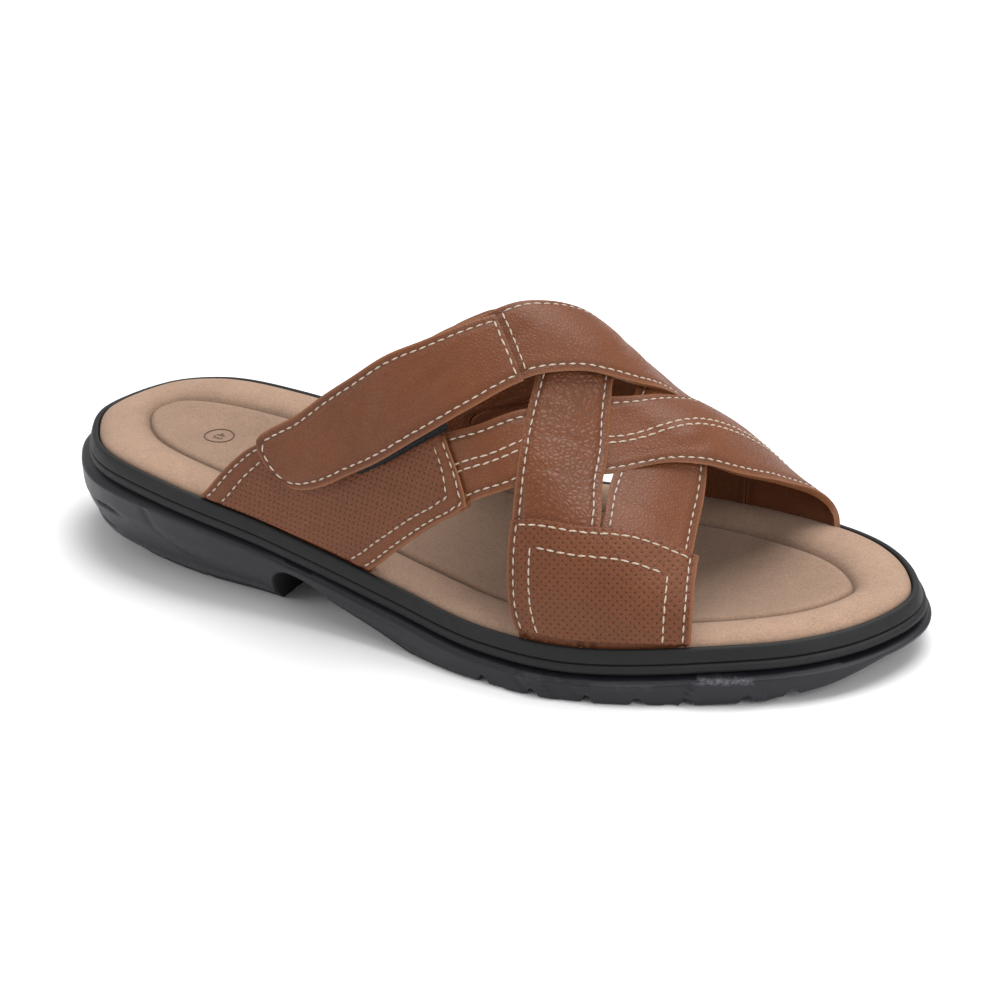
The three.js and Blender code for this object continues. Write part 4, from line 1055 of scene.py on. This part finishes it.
def bands():
    if not BANDS:
        BANDS.update(build_bands())
    return BANDS


class SANDAL_OT_straps(bpy.types.Operator):
    """Four woven straps and the rear base, with lining and cut edges"""
    bl_idname = "sandal.straps"
    bl_label = "Straps"

    def execute(self, context):
        thick = sizes().strap_thickness
        for key, leather in (
                ("rear_cross", pebbled_leather()), ("front_cross", plain_leather()), ("top_strap", plain_leather()),
                ("front_strap", plain_leather()), ("rear_base", plain_leather())):
            finish(leather_band(key, bands()[key], thick), leather_set(leather), "leather_brown", "upper")
        return {"FINISHED"}


class SANDAL_OT_patches(bpy.types.Operator):
    """Perforated patches on the outer side"""
    bl_idname = "sandal.patches"
    bl_label = "Perforated patches"

    def execute(self, context):
        thick = sizes().patch_thickness
        for key, border in (("front_patch", 1), ("rear_patch", 8)):
            obj = leather_band(key + "_leather", bands()[key], thick, planar=True)
            finish(obj, leather_set(perforated(border)), "leather_brown", key)
        return {"FINISHED"}


class SANDAL_OT_flap(bpy.types.Operator):
    """Closing flap with its rounded end"""
    bl_idname = "sandal.flap"
    bl_label = "Closing flap"

    def execute(self, context):
        obj = leather_band("flap_leather", bands()["flap"], sizes().flap_thickness)
        finish(obj, leather_set(plain_leather()), "leather_brown", "closure_flap")
        return {"FINISHED"}


def hooks(name, band, count):
    """Loose hooks and fibres that stand out along the lower edge of the tape"""
    bpy.ops.object.select_all(action="DESELECT")
    bpy.ops.mesh.primitive_cone_add(vertices=4, radius1=0.5, radius2=0.12, depth=1.0)
    model = bpy.context.object
    local = np.array([v.co[:] for v in model.data.vertices]) + (0, 0, 0.5)
    faces = [tuple(p.vertices) for p in model.data.polygons]
    bpy.data.objects.remove(model)
    rng = np.random.default_rng(11)
    t = band.last * rng.uniform(0, 1, count) ** 0.8
    edge = np.ones(count)
    here = band.at(t, edge, out=-rng.uniform(0.1, 1.1, count), relief=False)
    normal = band.normal(t, edge)
    way = here - band.at(t, edge * 0.9, relief=False)
    way = way / np.linalg.norm(way, axis=1, keepdims=True) + rng.normal(0, 0.45, (count, 3))
    way += normal * rng.uniform(-0.1, 0.5, (count, 1))
    way /= np.linalg.norm(way, axis=1, keepdims=True)
    side = np.cross(way, normal)
    side /= np.linalg.norm(side, axis=1, keepdims=True)
    third = np.cross(way, side)
    long = rng.uniform(0.25, 0.95, count) * (0.5 + 0.6 * t / band.last)
    thick = rng.uniform(0.12, 0.3, count)
    vertices, polygons = [], []
    for k in range(count):
        base = len(vertices)
        flat = local[:, :1] * side[k] + local[:, 1:2] * third[k]
        vertices.extend(here[k] + flat * thick[k] + (local[:, 2:3] - 0.3) * long[k] * way[k])
        polygons.extend(tuple(base + i for i in face) for face in faces)
    mesh = bpy.data.meshes.new(name)
    mesh.from_pydata([tuple(p) for p in to_row(np.array(vertices))], [], polygons)
    obj = bpy.data.objects.new(name, mesh)
    bpy.context.scene.collection.objects.link(obj)
    edit(obj, (bpy.ops.mesh.normals_make_consistent, {"inside": False}))
    return obj


class SANDAL_OT_tape(bpy.types.Operator):
    """Hook-and-loop tape under the flap, with its loose hooks along the edge"""
    bl_idname = "sandal.tape"
    bl_label = "Hook tape"

    def execute(self, context):
        band = bands()["tape"]
        obj = leather_band("tape_fleece", band, sizes().tape_thickness, lane=0.8, step=0.8)
        finish(obj, [tape_material()] * 3, "tape_black", "hook_tape")
        finish(hooks("tape_hooks", band, 420), [tape_material()], "tape_black")
        return {"FINISHED"}


def stitch_plan():
    b = bands()
    plan = []
    for key, t0, t1 in (("rear_cross", 1.3, 18.4), ("front_cross", 1.3, 17.6), ("front_strap", 1.3, 16.6)):
        for side in ("rear", "front"):
            plan.append((b[key], inset_path(b[key], side, 2.3, t0, t1)))
    for side, t1 in (("rear", 11.5), ("front", 12.2)):
        plan.append((b["top_strap"], inset_path(b["top_strap"], side, 2.3, 1.3, t1)))
    plan.append((b["top_strap"], [(11.55, 0.09), (11.9, 0.5), (12.25, 0.91)]))
    for inset in (-1.15, 1.15):
        plan.append((b["front_strap"], inset_path(b["front_strap"], "middle", inset, 2.5, 16.4)))
    for key, t0 in (("rear_patch", 0.15), ("front_patch", 0.1)):
        band = b[key]
        for side in ("rear", "front"):
            plan.append((band, inset_path(band, side, 2.3, t0, band.last - 0.2)))
    for side, t1 in (("rear", 4.2), ("front", 8.5)):
        plan.append((b["rear_patch"], inset_path(b["rear_patch"], side, 7.6, 0.2, t1)))
    band = b["front_patch"]
    top = band.last - 2.3 / (band.run[-1] / band.last)
    second = band.last - 8.0 / (band.run[-1] / band.last)
    plan.append((band, np.stack([np.full(9, top), np.linspace(0.05, 0.95, 9)], -1)))
    plan.append((band, np.stack([np.full(9, second), np.linspace(0.17, 0.83, 9)], -1)))
    for side in ("rear", "front"):
        plan.append((band, inset_path(band, side, 7.8, 0.1, second)))
    flap = b["flap"]
    end = np.interp(flap.run[-1] - 2.3, flap.run, flap.grid_t)
    wide = flap.width[-1]
    corner = np.interp(flap.run[-1] - 4.6, flap.run, flap.grid_t)
    for side in ("rear", "front"):
        plan.append((flap, inset_path(flap, side, 2.3, 0.16, corner)))
    a, z = 2.3 / wide, 1 - 2.3 / wide
    m = 4.4 / wide
    plan.append((flap, [(corner, a), ((corner + end) / 2, a + 0.012), (end, m), (end, 0.5), (end, 1 - m),
                        ((corner + end) / 2, z - 0.012), (corner, z)]))
    plan.append((flap, np.stack([np.full(7, 0.16), np.linspace(0.09, 0.91, 7)], -1)))
    return plan


class SANDAL_OT_stitches(bpy.types.Operator):
    """Rows of off-white stitches on the straps, patches and flap"""
    bl_idname = "sandal.stitches"
    bl_label = "Stitches"

    def execute(self, context):
        stitch_rows("stitching", stitch_plan())
        return {"FINISHED"}


def ring(curve, normals, outset, height):
    place = curve + normals * np.asarray(outset)[..., None]
    return np.column_stack([place, np.broadcast_to(height, len(curve))])


def edge_stations(step):
    """Points round the footbed's edge, their outward normals, where they are along it, and which are inner"""
    curve = EDGE[::step]
    way = np.roll(curve, -1, axis=0) - np.roll(curve, 1, axis=0)
    way /= np.linalg.norm(way, axis=1, keepdims=True)
    normals = np.column_stack([way[:, 1], -way[:, 0]])
    inner = np.arange(len(curve)) > len(curve) // 2
    return curve, normals, np.clip(curve[:, 0] / LENGTH, 0, 1), inner


def tube_of(name, rings, values=None):
    """Closed rings, one after the other, as one mesh. A ring that falls onto a line closes its end."""
    points = to_row(np.array(rings))
    points = np.concatenate([points, points[:, :1]], axis=1)
    extra = {k: np.concatenate([v, v[:, :1]], axis=1) for k, v in (values or {}).items()}
    obj = sheet_of(name, points, None, extra)
    edit(obj, (bpy.ops.mesh.remove_doubles, {"threshold": 0.000002}),
         (bpy.ops.mesh.normals_make_consistent, {"inside": False}))
    return obj


def middle_line(rim):
    """The line half way between the two sides of a ring, one point for each point of the ring"""
    return (rim + np.roll(rim[::-1], 1, axis=0)) / 2


def softened(points, rounds):
    """A ring rounded off by repeated averaging with its neighbours"""
    for _ in range(rounds):
        points = (np.roll(points, 1, axis=0) + points + np.roll(points, -1, axis=0)) / 3
    return points


def step_up(value, low, high):
    """Smooth step from 0 at low to 1 at high"""
    t = np.clip((np.asarray(value, float) - low) / (high - low), 0, 1)
    return t * t * (3 - 2 * t)


class SANDAL_OT_footbed(bpy.types.Operator):
    """Cushioned footbed: puffed border, seam and softly dished middle"""
    bl_idname = "sandal.footbed"
    bl_label = "Footbed"

    def execute(self, context):
        border = sizes().border_width * 1000
        deep = sizes().seam_depth * 1000
        curve, normals, along, inner = edge_stations(3)
        profile = [
            (0.0, -FOOTBED_DEPTH), (0.0, -2.0), (0.0, -0.4), (0.25, 0.25), (0.8, 0.8), (1.6, 1.2), (2.8, 1.55),
            (4.2, 1.8), (6.0, 1.95), (8.0, 1.95), (10.0, 1.8), (11.6, 1.5), (13.0, 1.05), (14.0, 0.6),
            (14.8, 0.15), (15.4, -deep * 0.55), (15.75, -deep * 0.9), (border, -deep), (border + 0.3, -deep * 0.8),
            (border + 0.7, -deep * 0.3), (border + 1.4, 0.05), (border + 2.4, 0.2), (border + 3.4, 0.1)]
        rings, seam, rise = [], [], []
        for inset, high in profile:
            rounds = int(330 * np.clip((inset - 5) / 11, 0, 1) ** 2)
            flat = softened(curve - normals * inset, rounds)
            rings.append(np.column_stack([flat, rim_height(flat[:, 0]) + high]))
            seam.append(np.full(len(curve), math.exp(-((inset - border) / 0.42) ** 2) if inset > 0 else 0.0))
            rise.append(np.full(len(curve), np.clip(high / 1.8, 0, 1)))
        rim = rings[-1][:, :2]
        line = middle_line(rim)
        half = len(line) // 2 + 1
        spine_x = np.clip(line[:, 0], line[:, 0].min() + 22, line[:, 0].max() - 26)
        spine = np.column_stack([spine_x, np.interp(spine_x, line[:half, 0], line[:half, 1])])
        for share in (0.12, 0.25, 0.4, 0.55, 0.7, 0.85, 1.0):
            flat = rim * (1 - share) + spine * share
            dip = 0.1 - 1.5 * math.sin(share * math.pi / 2)
            rings.append(np.column_stack([flat, rim_height(flat[:, 0]) + dip]))
            seam.append(np.zeros(len(curve)))
            rise.append(np.zeros(len(curve)))
        under = middle_line(rings[0])
        base = [under, rings[0] * 0.5 + under * 0.5]
        rings = base + rings
        blank = [np.zeros(len(curve))] * 2
        obj = tube_of("footbed_cushion", rings, {"seam": np.array(blank + seam), "rise": np.array(blank + rise)})
        shade(obj, 75)
        finish(obj, [suede_material()], "suede_tan", "insole")
        return {"FINISHED"}


def on_footbed(obj, x, y, lift):
    """Moves a flat mesh onto the footbed's top, with its own height kept above it"""
    bed = bpy.data.objects["footbed_cushion"]
    centre = to_row((x, y, 0))
    for vertex in obj.data.vertices:
        place = vertex.co + Vector(centre)
        hit, spot, normal, face = bed.ray_cast((place.x, place.y, 0.08), (0, 0, -1))
        if not hit:
            raise RuntimeError("The size mark lies beside the footbed")
        vertex.co = (place.x, place.y, spot.z + vertex.co.z + lift)
    obj.data.update()


class SANDAL_OT_size_mark(bpy.types.Operator):
    """Plain size number in a ring, pressed into the heel of the footbed"""
    bl_idname = "sandal.size_mark"
    bl_label = "Size mark"

    def execute(self, context):
        bpy.ops.object.select_all(action="DESELECT")
        bpy.ops.mesh.primitive_torus_add(
            major_radius=0.0047, minor_radius=0.00026, major_segments=64, minor_segments=6)
        mark = bpy.context.object
        bpy.ops.object.select_all(action="DESELECT")
        bpy.ops.object.text_add()
        text = bpy.context.object
        text.data.body = "43"
        text.data.align_x, text.data.align_y = "CENTER", "CENTER"
        text.data.size = 0.0046
        text.data.extrude = 0.0001
        only(text)
        bpy.ops.object.convert(target="MESH")
        number = bpy.context.object
        number.data.transform(Matrix.Rotation(-math.pi / 2, 4, "Z"))
        mark = join([mark, number], "size_mark")
        on_footbed(mark, 48.0, -5.7, 0.00002)
        shade(mark, 40)
        finish(mark, [pressed_suede()], "suede_tan")
        return {"FINISHED"}


def inner_part(along, inner):
    """1 on the inner side, fading to 0 at the heel's and the toe's ends, so that the sides join smoothly"""
    return inner * step_up(np.minimum(along, 1 - along), 0.0, 0.07)


def side_out(key, along, inner):
    out = SIDE_FLARE * column(SOLE_SIDE, key, along)
    return np.where(out > 0, out * (1 - (1 - INNER_SHARE) * inner_part(along, inner)), out)


def near_line(x, z, path, wide):
    """1 on a line of points in x and z, falling smoothly to 0 about its width away"""
    best = np.full(np.shape(x), 1e9)
    for (x0, z0), (x1, z1) in zip(path[:-1], path[1:]):
        dx, dz = x1 - x0, z1 - z0
        k = np.clip(((x - x0) * dx + (z - z0) * dz) / (dx * dx + dz * dz), 0, 1)
        best = np.minimum(best, np.hypot(x - x0 - k * dx, z - z0 - k * dz))
    return np.exp(-(best / wide) ** 2)


def block_mask(along, z, start, end, high, slant):
    """1 inside a block on the sole's side that narrows upwards, with soft edges"""
    lean = slant * np.clip(z / high, 0, 1.2)
    left = step_up(along, start + lean - 0.0015, start + lean + 0.0015)
    right = 1 - step_up(along, end - lean - 0.0015, end - lean + 0.0015)
    return left * right * (1 - step_up(z, high - 0.4, high + 0.3))


def side_relief(along, z, inner, bottom, top):
    """Blocks, slits and creases moulded on the sole's side, in mm, and where it is worn pale"""
    x = along * LENGTH
    out, worn = np.zeros_like(along), np.zeros_like(along)
    outer = ~inner
    for on, start, end, high, slant, proud, wear in SIDE_BLOCKS:
        here = (inner if on == "inner" else outer) * block_mask(along, z, start, end, high, slant)
        out += proud * here
        worn = np.maximum(worn, wear * here * step_up(z, high - 2.0, high - 0.6))
    for path, wide, deep in SIDE_CREASES:
        out -= deep * near_line(x, z, path, wide) * outer
    for path, wide, deep in HEEL_SLITS:
        lens = np.sin(np.pi * np.clip((x - path[0][0]) / (path[-1][0] - path[0][0]), 0, 1))
        out -= deep * near_line(x, z, path, wide) * outer * np.clip(lens, 0.15, 1)
    out -= 0.5 * np.exp(-((z - bottom - 1.2) / 0.8) ** 2) * step_up(along, 0.35, 0.40) * (1 - step_up(along, 0.5, 0.54))
    return out, worn


def underside(x, y):
    """Height of the sole's underside: toe spring, arch and grooved tread"""
    along = np.clip(x / LENGTH, 0, 1)
    height = TOE_SPRING * np.maximum(column(SOLE_SIDE, 1, along), 0)
    arch = np.where((along > ARCH_CUT[0][0]) & (along < ARCH_CUT[-1][0]), column(ARCH_CUT, 1, along) * RIM_HEIGHT, 0)
    groove = np.zeros_like(x)
    for place in FORE_GROOVES + HEEL_GROOVES:
        turn = -0.12 if place in FORE_GROOVES else 0.08
        gap = np.abs(x - place * LENGTH - turn * y)
        groove = np.maximum(groove, 1 - step_up(gap, 0.9, 1.9))
    half = (edge_across(x, True) - edge_across(x, False)) / 2
    inwards = half - np.abs(y - (edge_across(x, True) + edge_across(x, False)) / 2)
    shown = np.where(along < 0.4, step_up(inwards, 6, 11), 1.0)
    return np.maximum(height, arch) + 2.1 * groove * shown * (arch < 0.4)


class SANDAL_OT_sole(bpy.types.Operator):
    """Moulded rubber sole unit: rim band, ledge, bulging side, arch, lugs and treads"""
    bl_idname = "sandal.sole"
    bl_label = "Sole unit"

    def execute(self, context):
        curve, normals, along, inner = edge_stations(3)
        rim = rim_height(curve[:, 0])
        step = 1 - (0.5 - INNER_SHARE / 2) * inner_part(along, inner)
        f, g = BAND_FLARE, GROOVE_DEPTH
        wall_top = BAND_HEIGHT + LEDGE_HEIGHT + g
        plain = TOE_SPRING * np.maximum(column(SOLE_SIDE, 1, along), 0)
        top = rim - wall_top
        proud = 0.35 + 0.65 * step_up(along, 0.45, 0.75)
        profile = [
            (0, FOOTBED_DEPTH + FIT), (0, 0.3), (0.12, -0.25), (0.45, -0.5), (f * 0.4, -0.55), (f * 0.55, -0.35),
            (f * 0.68, 0.2), (f * 0.84, 1.4), (f * 0.97, 2.6), (f, 3.0), (f - 0.1, 3.2), (f - 0.5, 3.38), (f - 0.5, 3.55)]
        ledge = [(0.15, 3.75), (0.65, 4.05), (1.0, 4.5), (1.1, 5.1), (1.0, 5.7), (0.6, 6.15), (0.1, 6.4),
                 (0.5 - g, 6.55), (0.2 - g, 6.85), (0.3 - g, 7.25)]
        levels = [(f_out * step, np.full_like(along, drop)) for f_out, drop in profile]
        levels += [
            ((f + out * (proud if out > 0 else 1.0)) * step, np.full_like(along, drop)) for out, drop in ledge]
        rings, side, worn = [], [], []
        for out, drop in levels:
            z = rim - drop
            more, pale = side_relief(along, z, inner, plain, top)
            block = FIT + side_out(4, along, inner) + 0.8
            mask = np.clip(more / 0.8, 0, 1) * (drop > 6.0)
            rings.append(ring(curve, normals, (FIT + out) * (1 - mask) + block * mask, z))
            side.append(np.where(drop > 6.3, 1.0, 0.0))
            worn.append(pale)
        foot_line = curve + normals * side_out(2, along, inner)[:, None]
        low_line = np.maximum(underside(foot_line[:, 0], foot_line[:, 1]), plain)
        low_line = np.minimum(low_line, top - 1.5)
        bulge, low, ground = (side_out(k, along, inner) for k in (4, 3, 2))
        rows = 58
        turn = np.linspace(0, np.pi / 2, 6)[1:]
        shares = [(1 - k / rows, 0.0, 0.0) for k in range(1, rows)] + [(0.0, t, 1.0) for t in turn]
        round_edge = 1.3

        def outset_at(z):
            share = np.clip((z - plain) / (top - plain), 0, 1)
            upper = step_up(share, 0.25, 0.78)
            lower = step_up(share, -0.05, 0.34)
            return ground + (low - ground) * lower + (bulge - low) * upper

        base = low_line + round_edge
        for share, t, is_edge in shares:
            if is_edge:
                z = low_line + round_edge * (1 - math.sin(t))
                out = outset_at(base) - round_edge * (1 - math.cos(t))
            else:
                z = base + (top - base) * share
                out = outset_at(z)
            more, pale = side_relief(along, z, inner, low_line, top)
            neck = 1.1 * (1 - step_up((top - z), 0.0, 1.0))
            rings.append(ring(curve, normals, out + more - neck, z))
            side.append(np.ones_like(along))
            worn.append(pale)
        last = rings[-1]
        line = middle_line(last)
        for share in (0.03, 0.12, 0.25, 0.38, 0.5, 0.62, 0.75, 0.87, 1.0):
            flat = last * (1 - share) + line * share
            z = underside(flat[:, 0], flat[:, 1])
            edge_height = last[:, 2]
            flat[:, 2] = z if share > 0.1 else np.maximum(z, edge_height)
            if share == 1.0:
                flat[:, 2] = middle_line(flat)[:, 2]
            rings.append(flat)
            # The underside rows get side 2, which the rubber material paints darker as shade under the sole.
            side.append(np.full_like(along, 2.0))
            worn.append(np.zeros_like(along))
        top_line = middle_line(rings[0])
        rings = [top_line, (top_line + rings[0]) / 2] + rings
        side = [np.zeros_like(along)] * 2 + side
        worn = [np.zeros_like(along)] * 2 + worn
        obj = tube_of("sole_rubber", rings, {"side": np.array(side), "worn": np.array(worn)})
        shade(obj, 50)
        finish(obj, [rubber_material()], "rubber_black", "sole_unit")
        return {"FINISHED"}


class SANDAL_OT_stage(bpy.types.Operator):
    """Plain pale floor, soft studio light and the camera"""
    bl_idname = "sandal.stage"
    bl_label = "Stage"

    def execute(self, context):
        bpy.ops.object.select_all(action="DESELECT")
        bpy.ops.mesh.primitive_plane_add(size=12.0, location=(0, 0, 0))
        floor = bpy.context.object
        floor.name = "studio_floor"
        material, tree = new_material("studio_floor")
        if tree is not None:
            n = Nodes(tree)
            surface(n, rgba(colours().floor), 0.9, None)
        floor.data.materials.append(material)

        world = bpy.data.worlds.new("studio")
        bpy.context.scene.world = world
        world.use_nodes = True
        world.node_tree.nodes["Background"].inputs["Color"].default_value = (1, 1, 1, 1)
        world.node_tree.nodes["Background"].inputs["Strength"].default_value = 0.48

        def panel(name, place, target, size, power):
            light = bpy.data.lights.new(name, "AREA")
            light.shape = "RECTANGLE"
            light.size, light.size_y = size
            light.energy = power
            lamp = bpy.data.objects.new(name, light)
            bpy.context.scene.collection.objects.link(lamp)
            way = Vector(target) - Vector(place)
            lamp.matrix_world = Matrix.Translation(place) @ way.to_track_quat("-Z", "Y").to_matrix().to_4x4()

        panel("key", (0.12, 0.5, 1.45), (0, 0, 0.04), (1.4, 1.3), 27)
        panel("fill", (-0.9, -0.9, 0.7), (0, 0, 0.04), (0.8, 0.6), 4.0)
        panel("kicker", (1.1, -0.35, 0.6), (0.05, 0, 0.04), (0.5, 0.7), 5)

        data = bpy.data.cameras.new("camera")
        data.lens, data.sensor_width = 104.0, 36.0
        data.clip_start, data.clip_end = 0.05, 30.0
        camera = bpy.data.objects.new("camera", data)
        bpy.context.scene.collection.objects.link(camera)
        place = Vector((0.43079, -0.67328, 0.40542))
        target = Vector((0.00683, 0.00748, 0.025))
        forward = (target - place).normalized()
        right = forward.cross(Vector((0, 0, 1))).normalized()
        up = right.cross(forward)
        roll = math.radians(-4.28)
        turned_right = right * math.cos(roll) + up * math.sin(roll)
        turned_up = up * math.cos(roll) - right * math.sin(roll)
        axes = Matrix((turned_right, turned_up, -forward)).transposed().to_4x4()
        camera.matrix_world = Matrix.Translation(place) @ axes
        bpy.context.scene.camera = camera
        bpy.context.scene.view_settings.view_transform = "Standard"
        return {"FINISHED"}


class SANDAL_PT_panel(bpy.types.Panel):
    """Pieces of the sandal, in the order that they are built"""
    bl_idname = "SANDAL_PT_panel"
    bl_label = "Slide sandal"
    bl_space_type = "VIEW_3D"
    bl_region_type = "UI"
    bl_category = "Sandal"

    def draw(self, context):
        for operator in STEPS:
            self.layout.operator(operator.bl_idname)
        for group in (context.scene.sandal_sizes, context.scene.sandal_colours):
            for key in group.bl_rna.properties.keys():
                if key not in ("rna_type", "name"):
                    self.layout.prop(group, key)


STEPS = (
    SANDAL_OT_sole, SANDAL_OT_footbed, SANDAL_OT_size_mark, SANDAL_OT_straps, SANDAL_OT_patches, SANDAL_OT_tape, SANDAL_OT_flap,
    SANDAL_OT_stitches, SANDAL_OT_stage,
)
CLASSES = (SandalSizes, SandalColours) + STEPS + (SANDAL_PT_panel,)


def register():
    for cls in CLASSES:
        bpy.utils.register_class(cls)
    bpy.types.Scene.sandal_sizes = bpy.props.PointerProperty(type=SandalSizes)
    bpy.types.Scene.sandal_colours = bpy.props.PointerProperty(type=SandalColours)


def unregister():
    del bpy.types.Scene.sandal_sizes
    del bpy.types.Scene.sandal_colours
    for cls in reversed(CLASSES):
        bpy.utils.unregister_class(cls)


def main():
    register()
    bpy.ops.sandal.sole()
    bpy.ops.sandal.footbed()
    bpy.ops.sandal.size_mark()
    bpy.ops.sandal.straps()
    bpy.ops.sandal.patches()
    bpy.ops.sandal.tape()
    bpy.ops.sandal.flap()
    bpy.ops.sandal.stitches()
    bpy.ops.sandal.stage()


if __name__ == "__main__":
    main()
